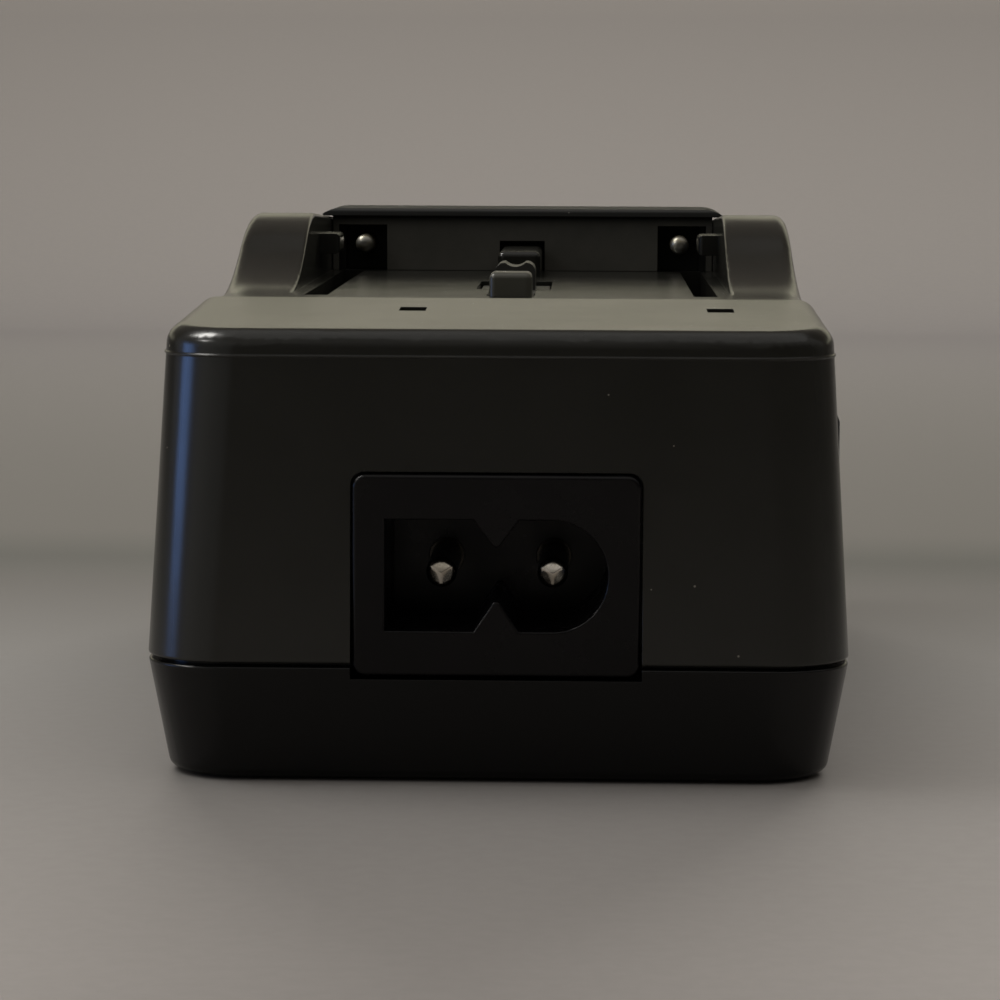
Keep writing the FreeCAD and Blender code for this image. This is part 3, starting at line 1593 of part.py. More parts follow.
def make_disc_capacitor():
    y = board_front + disc_y
    disc = rod(3.4, 2.4, disc_x, y - 1.2, board_top + 5.0, Vector(0, 1, 0))
    disc = round_edges(disc, 0.7, lambda e: e.BoundBox.ZMax - e.BoundBox.ZMin > 6.0)
    for side in (-1, 1):
        disc = disc.fuse(rod(0.35, 3.2, disc_x + side * 1.6, y, board_top + seat))
    return disc.removeSplitter()


def make_optocoupler():
    return on_board(4.6, 6.5, 3.4, optocoupler_x, board_front + optocoupler_y)


def make_control_chips():
    """Charge control chip and its regulator."""
    return Part.makeCompound([
        on_board(4.0, 5.0, 1.6, chips_x, board_front + chips_y + 2.4),
        on_board(3.0, 3.0, 1.3, chips_x + 14.0, board_front + chips_y - 3.5),
    ])


def make_resistors():
    """Row of small resistors standing clear of the board on their legs."""
    parts = []
    for i in range(4):
        x = resistors_x + (i - 1.5) * 3.2
        y = board_front + resistors_y
        body = rod(1.1, 6.0, x, y - 3.0, board_top + 1.5, Vector(0, 1, 0))
        for dy in (-3.6, 3.6):
            body = body.fuse(rod(0.3, 1.6, x, y + dy, board_top + seat))
            reach = rod(0.3, 1.2, x, y + dy - (0.0 if dy < 0 else 1.2), board_top + 1.4, Vector(0, 1, 0))
            body = body.fuse(reach)
        parts.append(body.removeSplitter())
    return Part.makeCompound(parts)


def main():
    os.makedirs("parts", exist_ok=True)
    save("upper_casing", make_upper_casing())
    save("lower_casing", make_lower_casing())
    save("battery_plate", make_battery_plate())
    save("terminal_housing", make_terminal_housing())
    save("contact_pins", make_contact_pins())
    save("catch", make_catch())
    save("catch_spring", make_catch_spring())
    save("catch_retainer", make_catch_retainer())
    save("inlet_housing", make_inlet_housing())
    save("inlet_pins", make_inlet_pins())
    save("grip_left", make_grip(-1))
    save("grip_right", make_grip(1))
    save("indicator_windows", make_lenses())
    save("indicator_board", make_indicator_board())
    save("indicator_lamps", make_lamps())
    save("feet", make_feet())
    save("rating_plate", make_rating_plate())
    save("casing_screws", make_casing_screws())
    save("plate_screws", small_screws(plate_screw_places(), shelf_bottom - seat, small_screw_length))
    save("housing_screws", small_screws(housing_screw_places(), floor_underside - seat, small_screw_length))
    save("retainer_screws", small_screws(
        retainer_screw_places(), well_bottom() - retainer_thickness - seat * 2, small_screw_length,
    ))
    save("indicator_screws", small_screws(
        indicator_screw_places(), indicator_board_span()[4] - seat, small_screw_length,
    ))
    save("board_screws", small_screws(board_screw_places(), board_top + seat, small_screw_length - 0.5, True))
    save("inlet_leads", make_inlet_leads())
    save("contact_leads", make_contact_leads())
    save("lamp_leads", make_lamp_leads())
    save("main_board", make_main_board())
    save("fuse", make_fuse())
    save("varistor", make_varistor())
    save("suppression_capacitor", make_suppressor())
    save("choke_core", make_choke_core())
    save("choke_windings", make_choke_windings())
    save("bridge_rectifier", make_bridge())
    save("main_capacitor", make_main_capacitor())
    save("transformer_core", make_transformer_core())
    save("transformer_bobbin", make_transformer_bobbin())
    save("transformer_winding", make_transformer_winding())
    save("heat_sink", make_heat_sink())
    save("switching_transistor", make_switching_transistor())
    save("output_diode", make_output_diode())
    save("output_capacitors", make_output_capacitors())
    save("disc_capacitor", make_disc_capacitor())
    save("optocoupler", make_optocoupler())
    save("control_chips", make_control_chips())
    save("resistors", make_resistors())


main()
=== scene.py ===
import bpy
import bmesh
import math
from functools import partial
from mathutils import Matrix, Vector


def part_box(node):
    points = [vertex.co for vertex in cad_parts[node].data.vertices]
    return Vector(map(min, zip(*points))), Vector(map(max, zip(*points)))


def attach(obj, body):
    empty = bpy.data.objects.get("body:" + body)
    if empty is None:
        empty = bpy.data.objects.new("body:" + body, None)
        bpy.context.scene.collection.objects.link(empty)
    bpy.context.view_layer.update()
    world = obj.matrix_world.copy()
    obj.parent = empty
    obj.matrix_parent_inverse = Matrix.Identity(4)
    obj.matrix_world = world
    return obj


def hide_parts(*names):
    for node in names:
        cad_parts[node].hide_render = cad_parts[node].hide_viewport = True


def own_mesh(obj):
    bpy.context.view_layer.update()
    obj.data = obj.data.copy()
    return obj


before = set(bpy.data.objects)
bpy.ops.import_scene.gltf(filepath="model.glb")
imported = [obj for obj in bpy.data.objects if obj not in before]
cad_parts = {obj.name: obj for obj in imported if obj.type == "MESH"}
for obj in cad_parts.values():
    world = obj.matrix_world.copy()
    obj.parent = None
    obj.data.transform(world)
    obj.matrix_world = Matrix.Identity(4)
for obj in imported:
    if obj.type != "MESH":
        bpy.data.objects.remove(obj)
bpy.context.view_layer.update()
scene = bpy.context.scene
mm = 0.001


# Small tools

smoothStep = {"interpolation_type": "SMOOTHSTEP"}    # settings of a Map Range that eases in and out
colorMix = {"data_type": "RGBA"}                     # settings of a Mix whose inputs 6 and 7 are colours


def linearColor(text):
    # sRGB hex to the linear values that shaders take
    parts = [int(text[i:i + 2], 16) / 255 for i in (0, 2, 4)]
    linear = [p / 12.92 if p <= 0.04045 else ((p + 0.055) / 1.055) ** 2.4 for p in parts]
    return (*linear, 1.0)


def addNode(tree, kind, inputs=(), output=0, **settings):
    # a kind without "Node" in it is a shader node's; inputs are values, hex colours, sockets to
    # link or lists of them; gives back one output, or the node itself where output is None
    node = tree.nodes.new(kind if "Node" in kind else "ShaderNode" + kind)
    for key, value in settings.items():
        setattr(node, key, value)
    for key, value in inputs.items() if isinstance(inputs, dict) else enumerate(inputs):
        for part in value if isinstance(value, list) else [value]:
            if isinstance(part, bpy.types.NodeSocket):
                tree.links.new(part, node.inputs[key])
            else:
                node.inputs[key].default_value = linearColor(part) if isinstance(part, str) else part
    return node if output is None else node.outputs[output]


# Camera, matched to the photograph: edges converge on one point above the middle

camera = {
    "place": (7.15, -313.0, 51.2),    # mm, from the middle of the footprint
    "turn": 1.515,                    # degrees to the left of +Y
    "tilt": -6.35,
    "roll": 0.264,
    "focal": 3430.0,                  # pixels of a 1000-pixel frame
    "frame": 1000.0,
    "sensor": 36.0,
    "clip": (0.01, 20.0),             # metres
}


def makeCamera():
    data = bpy.data.cameras.new("camera")
    data.sensor_width = data.sensor_height = camera["sensor"]
    data.sensor_fit = "HORIZONTAL"
    data.lens = camera["focal"] * camera["sensor"] / camera["frame"]
    data.clip_start, data.clip_end = camera["clip"]
    holder = bpy.data.objects.new("camera", data)
    scene.collection.objects.link(holder)
    turn = Matrix.Rotation(math.radians(camera["turn"]), 4, "Z")
    tilt = Matrix.Rotation(math.radians(90 + camera["tilt"]), 4, "X")
    roll = Matrix.Rotation(math.radians(camera["roll"]), 4, "Z")
    holder.matrix_world = Matrix.Translation(Vector(camera["place"]) * mm) @ turn @ tilt @ roll
    scene.camera = holder
    print("camera set")


makeCamera()


# Surfaces: how every material starts, is varied and ends

def startMaterial(name, baseHex, roughness, ior=1.5, metallic=0.0, more=None):
    # more holds further sockets of the shader and their values
    material = bpy.data.materials.new(name)
    material.use_nodes = True
    material.node_tree.nodes.clear()
    add = partial(addNode, material.node_tree)
    surface = add("BsdfPrincipled", {
        "Base Color": baseHex, "Roughness": roughness, "IOR": ior, "Metallic": metallic, **(more or {}),
    })
    add("OutputMaterial", {"Surface": surface}, None)
    return material, add, add("TexCoord", output="Object")


def addBlotches(add, place, sizeMm, low, high, toLow=0.0, toHigh=1.0, detail=2.0, roughness=0.5):
    # noise with blotches of about sizeMm, whose values from low to high become toLow to toHigh
    noise = add("TexNoise", {
        "Vector": place, "Scale": 1 / (sizeMm * mm), "Detail": detail, "Roughness": roughness,
    })
    return add("MapRange", (noise, low, high, toLow, toHigh), **smoothStep)


def addTint(add, place, firstHex, secondHex, sizeMm):
    # soft clouds of two near colours
    clouds = addBlotches(add, place, sizeMm, 0.25, 0.75, detail=3.0)
    return add("Mix", {0: clouds, 6: firstHex, 7: secondHex}, 2, **colorMix)


def addDust(add, place, color, spacingMm, radiusMm, share, dustHex="8c887e"):
    # single specks: only some of the cells have one
    cells = add("TexVoronoi", {"Vector": place, "Scale": 1 / (spacingMm * mm)}, None)
    near = add("Math", (cells.outputs["Distance"], radiusMm / spacingMm), operation="LESS_THAN")
    chance = add("SeparateColor", (cells.outputs["Color"],))
    some = add("Math", (chance, 1 - share), operation="GREATER_THAN")
    speck = add("Math", (near, some), operation="MULTIPLY")
    return add("Mix", {0: speck, 6: color, 7: dustHex}, 2, **colorMix)


def finishMaterial(material, add, place, color, handling=None, relief=(), roundMm=0.0, more=None):
    # handling is (smoothest, dullest, blotch mm) of rubbed and dull patches; relief is layers of
    # (blotch mm, height mm, detail) of noise, stacked; roundMm softens sharp edges; more holds
    # further sockets of the shader and what is linked to them
    sockets = {"Base Color": color, **(more or {})}
    if handling:
        low, high, sizeMm = handling
        sockets["Roughness"] = addBlotches(add, place, sizeMm, 0.2, 0.8, low, high, 4.0, 0.6)
    under = {}
    if roundMm:
        under = {"Normal": add("Bevel", {"Radius": roundMm * mm}, samples=4)}
    for sizeMm, heightMm, detail in relief:
        noise = add("TexNoise", {"Vector": place, "Scale": 1 / (sizeMm * mm), "Detail": detail})
        under = {"Normal": add("Bump", {"Height": noise, "Distance": heightMm * mm, **under})}
    sockets.update(under)
    shader = material.node_tree.nodes["Principled BSDF"]
    for name, socket in sockets.items():
        if socket:
            material.node_tree.links.new(socket, shader.inputs[name])
    return material


def evenMaterial(name, baseHex, roughness, ior, tint, handling, relief, roundMm=0.0,
                 dust=None, metallic=0.0, more=None):
    # a material that is alike all over: tint is two colours and a blotch in mm, dust is the
    # specks' spacing and radius in mm, their share and, where it isn't grey, their colour
    material, add, place = startMaterial(name, baseHex, roughness, ior, metallic, more)
    color = addTint(add, place, *tint)
    if dust:
        color = addDust(add, place, color, *dust)
    return finishMaterial(material, add, place, color, handling, relief, roundMm)


# Stage and light

stage = {
    "paintedLightAndShadeTones": [         # metres behind the charger's middle, and the paper's colour there: lighter and darker bands paint the light's falloff and the shade behind the charger
        (-0.11, "afa9a5"), (0.0, "878481"), (0.06, "676460"), (0.084, "585752"), (0.11, "63605b"),
        (0.5, "444140"), (0.685, "64605d"), (0.75, "a29a91"),
    ],
    "paperStart": -0.2,
    "paperEnd": 0.8,
    "paperRoughness": 0.85,
    "halfWidth": 1.6,
    "wallY": 0.75,
    "wallHeight": 2.0,
    "bendRadius": 0.25,
    "bendSteps": 24,
}


def paperWithPaintedLightAndShade():
    # matt coated background paper: pale warm grey, with painted light and shade along its depth, and the
    # faintest fibre mottle
    material, add, place = startMaterial("paperWithPaintedLightAndShade", "a0988f", stage["paperRoughness"])
    start, end = stage["paperStart"], stage["paperEnd"]
    # painted light and shade: the paper's colour follows its depth, from the tones
    depth = add("MapRange", (add("SeparateXYZ", (place,), "Y"), start, end))
    ramp = add("ValToRGB", (depth,), None)
    tones = ramp.color_ramp.elements
    while len(tones) < len(stage["paintedLightAndShadeTones"]):
        tones.new(1.0)
    for tone, (at, hexText) in zip(tones, stage["paintedLightAndShadeTones"]):
        tone.position = (at - start) / (end - start)
        tone.color = linearColor(hexText)
    mottle = addBlotches(add, place, 1.5, 0.3, 0.7, 0.0, 0.05, 4.0)
    paper = add("Mix", {0: mottle, 6: ramp.outputs["Color"], 7: "6b655f"}, 2, **colorMix)
    return finishMaterial(material, add, place, paper)


def makeStage():
    # floor and wall in one sweep, seen in section from the front edge up to the wall's top
    r, wallY = stage["bendRadius"], stage["wallY"]
    profile = [(-stage["halfWidth"], 0.0)]
    for i in range(stage["bendSteps"] + 1):
        angle = math.radians(90 * i / stage["bendSteps"])
        profile.append((wallY - r + r * math.sin(angle), r - r * math.cos(angle)))
    profile.append((wallY, stage["wallHeight"]))
    count = len(profile)
    mesh = bpy.data.meshes.new("backdrop")
    mesh.from_pydata(
        [(side, y, z) for side in (-stage["halfWidth"], stage["halfWidth"]) for y, z in profile], [],
        [(i, count + i, count + i + 1, i + 1) for i in range(count - 1)],
    )
    mesh.shade_smooth()
    backdrop = bpy.data.objects.new("backdrop", mesh)
    scene.collection.objects.link(backdrop)
    mesh.materials.append(paperWithPaintedLightAndShade())


lights = {
    "skyColor": "8d8a86",
    "frontColor": "3a3835",      # the dark end of the room, low in front and on the right
    "upLean": 2.0,               # how fast the room gets paler upwards, against backwards
    "rightLean": -0.8,
    "leanRange": (-0.6, 0.5),
    "lamps": {
        # place, aim and size in metres, power, colour, seen in gloss, lights matt surfaces

        # large, flagged off the glossy parts: soft shadow
        "softbox": ((-0.45, 0.1, 0.93), (0, 0, 0), (0.5, 0.7), 1.9, "fffdf8", False, True),
        # high on the left: the white glint on the rim's corner
        "glint": ((-0.55, 0.0, 0.83), (0, -0.04, 0.03), (0.24, 0.34), 6.0, "fffdf8", True, False),
        # its partner, lower and in front
        "lowGlint": ((-0.72, -0.42, 0.55), (0, -0.04, 0.03), (0.14, 0.12), 1.6, "fffdf8", True, False),
        # behind, just above the view: the deck's pale sheen
        "rearPanel": ((0.0, 0.72, 0.2), (0, 0, 0.1), (1.9, 0.2), 0.62, "fdf9da", True, True),
        # higher behind, flagged off the glossy parts: the shadow in front
        "rearKey": ((0.02, 0.735, 0.31), (0.02, 0, 0.31), (0.7, 0.22), 12.0, "fffdf8", False, True),
        # soft fill from above
        "topPanel": ((0.1, 0.1, 1.1), (0, 0, 0), (1.8, 1.5), 3.0, "fffdfa", True, True),
        # cool window low on the left, seen in glossy parts only
        "strip": ((-0.8, -0.12, 0.02), (0, 0, 0.02), (0.27, 0.34), 1.3, "7aa6f2", True, False),
        # seen in glossy parts only: the front's paler left band
        "sidePanel": ((-0.2, -0.28, 0.12), (-0.03, -0.05, 0.02), (0.3, 0.26), 0.04, "f4f8fa", True, False),
    },
}


def makeLight():
    world = bpy.data.worlds.new("studio")
    scene.world = world
    world.use_nodes = True
    add = partial(addNode, world.node_tree)
    x, y, z = add("SeparateXYZ", (add("TexCoord", output="Generated"),), None).outputs
    lean = add("Math", (z, lights["upLean"], y), operation="MULTIPLY_ADD")
    lean = add("Math", (x, lights["rightLean"], lean), operation="MULTIPLY_ADD")
    share = add("MapRange", (lean, *lights["leanRange"]), **smoothStep)
    shade = add("Mix", {0: share, 6: lights["frontColor"], 7: lights["skyColor"]}, 2, **colorMix)
    world.node_tree.links.new(shade, world.node_tree.nodes["Background"].inputs["Color"])
    for name, (place, aim, size, power, colorHex, glossy, diffuse) in lights["lamps"].items():
        data = bpy.data.lights.new(name, "AREA")
        data.shape = "RECTANGLE"
        data.size, data.size_y = size
        data.energy = power
        data.color = linearColor(colorHex)[:3]
        lamp = bpy.data.objects.new(name, data)
        scene.collection.objects.link(lamp)
        lamp.location = place
        lamp.rotation_euler = (Vector(aim) - Vector(place)).to_track_quat("-Z", "Y").to_euler()
        lamp.visible_camera = False
        lamp.visible_glossy = glossy
        lamp.visible_diffuse = diffuse
    scene.view_settings.view_transform = "Standard"
    print("stage and light set")


makeStage()
makeLight()


# Black mouldings

casingFinish = {
    "color": "22221e",
    "paleColor": "252521",
    "ior": 1.45,
    "smoothest": 0.21,
    "dullest": 0.25,
    "grainMm": 0.16,
    "grainHeightMm": 0.0014,
    "waveMm": 5.0,
    "waveHeightMm": 0.02,
    "edgeMm": 0.12,
}

shadedLowerFinish = dict(casingFinish, color="0a0a09", paleColor="0c0c0b", ior=1.34)    # painted shade: the casing's ABS made darker for the lower shell, which faces down into shade


def sparkTexturedAbs(name, look):
    # ABS with carbon black from a finely spark-eroded mould: satin black, a dense tiny pebble
    # that breaks reflections into soft-edged bands, and a few dust specks held by static
    return evenMaterial(
        name, look["color"], 0.26, look["ior"], tint=(look["color"], look["paleColor"], 9.0),
        handling=(look["smoothest"], look["dullest"], 14.0),
        relief=[(look["waveMm"], look["waveHeightMm"], 1.0), (look["grainMm"], look["grainHeightMm"], 3.0)],
        roundMm=look["edgeMm"], dust=(1.7, 0.09, 0.07),
    )


plateFinish = {
    "color": "20201c",
    "paleColor": "242420",
    "rubColor": "55534c",
    "rubMm": 0.5,
    "smoothest": 0.19,
    "dullest": 0.25,
    "grainMm": 0.12,
    "grainHeightMm": 0.0014,
}


def slidWornAbs():
    # the plate's ABS where batteries slide: the same black, with fine pale rubs along the slide
    look = plateFinish
    material, add, place = startMaterial("slidWornAbs", look["color"], 0.3, 1.4)
    tint = addTint(add, place, look["color"], look["paleColor"], 5.0)
    along = add("Mapping", {"Vector": place, "Scale": (1.0, 0.04, 1.0)})
    rubs = addBlotches(add, along, look["rubMm"], 0.68, 0.82, 0.0, 0.25, 5.0, 0.7)
    worn = add("Mix", {0: rubs, 6: tint, 7: look["rubColor"]}, 2, **colorMix)
    return finishMaterial(
        material, add, place, addDust(add, place, worn, 1.5, 0.09, 0.08),
        handling=(look["smoothest"], look["dullest"], 7.0),
        relief=[(4.0, 0.006, 1.0), (look["grainMm"], look["grainHeightMm"], 3.0)], roundMm=0.1,
    )


housingFinish = {
    "color": "24231f",
    "tint": ("1f1f1b", "23221e"),
    "paintedLightTint": ("4f4e47", "56544d"),
    "paintedLightY": (39.3, 40.3),      # mm, the painted light ends behind the wall's face
    "paintedLightZ": (40.4, 41.2),      # mm, and under the hood
}


def mattMouldedAbs():
    # matt-moulded ABS of the terminal housing and retainer, black like the casing; the wall that
    # faces the battery is painted paler below the hood: painted light
    look = housingFinish
    material, add, place = startMaterial("mattMouldedAbs", look["color"], 0.6, 1.4)
    x, y, z = add("SeparateXYZ", (place,), None).outputs
    # painted light: paler on the wall's face in front, below the hood
    facing = add("MapRange", (y, *[v * mm for v in look["paintedLightY"]], 1.0, 0.0), **smoothStep)
    under = add("MapRange", (z, *[v * mm for v in look["paintedLightZ"]], 1.0, 0.0), **smoothStep)
    film = add("Math", (facing, under), operation="MULTIPLY")
    tint = addTint(add, place, *look["tint"], 6.0)
    pale = addTint(add, place, *look["paintedLightTint"], 2.5)
    wallWithPaintedLight = add("Mix", {0: film, 6: tint, 7: pale}, 2, **colorMix)
    return finishMaterial(
        material, add, place, addDust(add, place, wallWithPaintedLight, 1.6, 0.09, 0.08),
        handling=(0.54, 0.66, 8.0), relief=[(4.0, 0.012, 1.0), (0.14, 0.003, 3.0)], roundMm=0.1,
    )


def smoothMouldedPbt():
    # flame-retardant PBT of the mains inlet: near black and smooth, with faint flow lines
    return evenMaterial(
        "smoothMouldedPbt", "050405", 0.28, 1.3, tint=("040304", "080608", 4.0),
        handling=(0.24, 0.38, 5.0), relief=[(2.5, 0.008, 1.5), (0.1, 0.001, 2.0)], roundMm=0.1,
    )


catchFinish = {
    "color": "302f2a",
    "tint": ("2f2e29", "353430"),
    # the pale of the top's rubs and painted highlight, and of the nose's painted light
    "wornColor": "56554b",
    "topZ": (36.9, 37.9),       # mm, the rubs and the painted highlight on top start and are full
    "paintedNoseLightY": (-11.1, -10.5),    # mm, the nose's front is painted lighter up to here
}


def polishedAcetal():
    # acetal of the catch, slippery and waxy: a soft grey-black sheen, rubbed paler in patches on its
    # top, where a painted highlight lies too, and painted lighter on the nose's front
    look = catchFinish
    material, add, place = startMaterial("polishedAcetal", look["color"], 0.34, 1.48)
    x, y, z = add("SeparateXYZ", (place,), None).outputs
    top = add("MapRange", (z, *[v * mm for v in look["topZ"]]), **smoothStep)
    scuffs = addBlotches(add, place, 0.35, 0.5, 0.75, 0.0, 0.4, 4.0, 0.7)
    paintedNoseLight = add("MapRange", (y, *[v * mm for v in look["paintedNoseLightY"]], 1.0, 0.0), **smoothStep)
    # rubs with a painted highlight on top, and painted light on the nose's front
    worn = add("Math", (add("Math", (top, scuffs), operation="MULTIPLY"), paintedNoseLight), operation="MAXIMUM")
    tint = addTint(add, place, *look["tint"], 3.0)
    color = add("Mix", {0: worn, 6: tint, 7: look["wornColor"]}, 2, **colorMix)
    return finishMaterial(
        material, add, place, color, handling=(0.3, 0.42, 2.5),
        relief=[(1.5, 0.006, 1.0), (0.1, 0.0012, 2.0)], roundMm=0.08,
    )


def thermoplasticElastomer():
    # soft TPE of the side grips: charcoal, dull, with a powdery bloom that catches light on ribs
    return evenMaterial(
        "thermoplasticElastomer", "232321", 0.68, 1.5, tint=("20201e", "2c2b29", 3.5),
        handling=(0.58, 0.78, 4.0), relief=[(0.9, 0.012, 2.0), (0.12, 0.008, 3.0)], roundMm=0.15,
        dust=(1.1, 0.1, 0.12), more={"Sheen Weight": 0.18, "Sheen Roughness": 0.5},
    )


rubberFinish = {
    "color": "2b2a29",
    "marbling": ("272625", "343231"),
    "scuffColor": "6d6963",
    "scuffZ": (0.02, 0.2),      # mm, scuffed below, clean above
}


def siliconeRubber():
    # grey-black silicone of the feet: matt, slightly marbled, scuffed pale where it stands
    look = rubberFinish
    material, add, place = startMaterial("siliconeRubber", look["color"], 0.75, 1.43)
    z = add("SeparateXYZ", (place,), "Z")
    sole = add("MapRange", (z, *[v * mm for v in look["scuffZ"]], 1.0, 0.0), **smoothStep)
    scuffs = addBlotches(add, place, 0.4, 0.45, 0.7, detail=5.0, roughness=0.7)
    worn = add("Math", (sole, scuffs), operation="MULTIPLY")
    tint = addTint(add, place, *look["marbling"], 2.0)
    color = add("Mix", {0: worn, 6: tint, 7: look["scuffColor"]}, 2, **colorMix)
    return finishMaterial(
        material, add, place, color, handling=(0.65, 0.85, 2.0), relief=[(0.25, 0.012, 3.0)], roundMm=0.1,
    )


def smokedPolycarbonate():
    # smoke-tinted polycarbonate windows: glassy, nearly black until a lamp behind them lights
    material, add, place = startMaterial(
        "smokedPolycarbonate", "1a1512", 0.06, 1.585, more={"Transmission Weight": 0.55},
    )
    return finishMaterial(
        material, add, place, None, handling=(0.04, 0.12, 1.2), relief=[(1.0, 0.004, 1.0)], roundMm=0.08,
    )


def ledResin(leftHex, rightHex, border):
    # tinted epoxy of the lamps, unlit: milky, glossy, each in its own colour, border between them
    material, add, place = startMaterial("ledResin", leftHex, 0.12, 1.53, more={"Transmission Weight": 0.4})
    side = add("Math", (add("SeparateXYZ", (place,), "X"), border * mm), operation="GREATER_THAN")
    cloud = addBlotches(add, place, 1.2, 0.3, 0.7, 0.0, 0.25)
    tint = add("Mix", {0: side, 6: leftHex, 7: rightHex}, 2, **colorMix)
    milky = add("Mix", {0: cloud, 6: tint, 7: "d8d4cc"}, 2, **colorMix)
    return finishMaterial(material, add, place, milky, relief=[(1.0, 0.003, 1.0)])


labelFinish = {
    "color": "26272a",
    "lineColor": "8f9194",
    "lineInset": 1.6,      # mm, from the film's edge to the printed frame
    "lineWidth": 0.25,
}


def polyesterLabel():
    # blank rating label of dark polyester film: fine matt grain, one pale frame line, no print
    look = labelFinish
    material, add, place = startMaterial("polyesterLabel", look["color"], 0.42, 1.6)
    insets = []    # how far inside the film's edges, across X and across Y
    for low, high, across in zip(*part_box("rating_plate"), add("SeparateXYZ", (place,), None).outputs[:2]):
        reach = add("Math", (across, (low + high) / 2), operation="SUBTRACT")
        reach = add("Math", (reach,), operation="ABSOLUTE")
        insets.append(add("Math", ((high - low) / 2, reach), operation="SUBTRACT"))
    inset = add("Math", insets, operation="MINIMUM")
    halfLine = look["lineWidth"] / 2 * mm
    line = add("Math", (inset, look["lineInset"] * mm, halfLine), operation="COMPARE")
    film = addTint(add, place, look["color"], "2d2e31", 0.5)
    color = add("Mix", {0: line, 6: film, 7: look["lineColor"]}, 2, **colorMix)
    return finishMaterial(
        material, add, place, color, handling=(0.36, 0.5, 8.0),
        relief=[(0.08, 0.002, 2.0), (9.0, 0.02, 1.0)],
    )


# Metals

pinFinish = {
    "brightColors": ("cfc9bf", "aaa294"),
    "socketShadeColor": "0c0b0a",
    "socketShadeFrom": (0.75, 1.3),    # mm behind the tip, the painted shade starts and is full
}


def nickelPlatedBrass():
    # nickel over brass pins: bright warm silver, with drawn lines along the pin, and painted
    # shade that darkens them deeper in the socket
    look = pinFinish
    material, add, place = startMaterial("nickelPlatedBrass", "c9c3b8", 0.16, metallic=1.0)
    tint = addTint(add, place, *look["brightColors"], 1.2)
    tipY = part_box("inlet_pins")[0][1]
    y = add("SeparateXYZ", (place,), "Y")
    # painted shade: darker deeper in the socket, behind the tip
    film = add("MapRange", (y, *[tipY + v * mm for v in look["socketShadeFrom"]], 0.0, 0.97), **smoothStep)
    color = add("Mix", {0: film, 6: tint, 7: look["socketShadeColor"]}, 2, **colorMix)
    along = add("Mapping", {"Vector": place, "Scale": (1.0, 0.05, 1.0)})
    lines = addBlotches(add, along, 0.12, 0.3, 0.7, 0.1, 0.26, 4.0)
    return finishMaterial(
        material, add, along, color, relief=[(0.15, 0.001, 2.0)], roundMm=0.06, more={"Roughness": lines},
    )


contactFinish = {
    "goldColor": "8c836a",
    "wornColor": "908e88",
    "tipY": (37.0, 39.0),       # mm, worn in front of this, hardly touched behind it
}


def contactPlating():
    # pale gold flash over nickel on the battery contacts: soft shine, worn silvery at the tips
    look = contactFinish
    material, add, place = startMaterial("contactPlating", "8d8672", 0.4, metallic=1.0)
    y = add("SeparateXYZ", (place,), "Y")
    tips = add("MapRange", (y, *[v * mm for v in look["tipY"]], 1.0, 0.15), **smoothStep)
    patches = addBlotches(add, place, 0.5, 0.2, 0.6, detail=3.0)
    worn = add("Math", (tips, patches), operation="MULTIPLY")
    color = add("Mix", {0: worn, 6: look["goldColor"], 7: look["wornColor"]}, 2, **colorMix)
    return finishMaterial(
        material, add, place, color, handling=(0.34, 0.5, 0.6), relief=[(0.2, 0.002, 2.0)], roundMm=0.06,
    )


def zincPlatedSteel():
    # clear-passivated zinc on the screws: bluish grey, softly mottled, half bright
    return evenMaterial(
        "zincPlatedSteel", "a7abae", 0.32, 1.5, tint=("b2b6b8", "8b8f90", 0.7), metallic=1.0,
        handling=(0.24, 0.45, 0.8), relief=[(0.3, 0.004, 3.0), (0.06, 0.001, 2.0)], roundMm=0.05,
    )


def springSteel():
    # hard-drawn spring wire: dark bright steel, finely scored by the die
    return evenMaterial(
        "springSteel", "8d8c8a", 0.26, 1.5, tint=("979694", "6f6d6a", 0.5), metallic=1.0,
        handling=(0.2, 0.36, 0.5), relief=[(0.08, 0.0015, 2.0)],
    )


def sheetAluminium():
    # rolled aluminium heat sink: pale, with fine duller lines that all run one way
    material, add, place = startMaterial("sheetAluminium", "b9bbbd", 0.36, metallic=1.0)
    along = add("Mapping", {"Vector": place, "Scale": (1.0, 0.03, 1.0)})
    lines = add("TexNoise", {"Vector": along, "Scale": 1 / (0.15 * mm), "Detail": 5.0, "Roughness": 0.7})
    dull = add("MapRange", (lines, 0.3, 0.7, 0.28, 0.46), **smoothStep)
    color = add("Mix", {0: lines, 6: "c2c4c6", 7: "9c9ea0"}, 2, **colorMix)
    return finishMaterial(
        material, add, along, color, relief=[(0.2, 0.003, 3.0)], roundMm=0.1, more={"Roughness": dull},
    )


def enamelledCopper():
    # copper wire under red-brown enamel: glossy lacquer with metal glowing through
    return evenMaterial(
        "enamelledCopper", "9a4a22", 0.2, 1.5, tint=("a4522a", "7f3817", 0.8), metallic=0.8,
        handling=None, relief=[(0.3, 0.004, 2.0)], more={"Coat Weight": 0.7, "Coat Roughness": 0.08},
    )


# Board and its parts

boardFinish = {
    "maskColor": "1d4a2c",
    "trackColor": "2c6a3c",
    "edgeColor": "a8935a",
    "trackMm": 2.2,
    "trackHeightMm": 0.035,
}


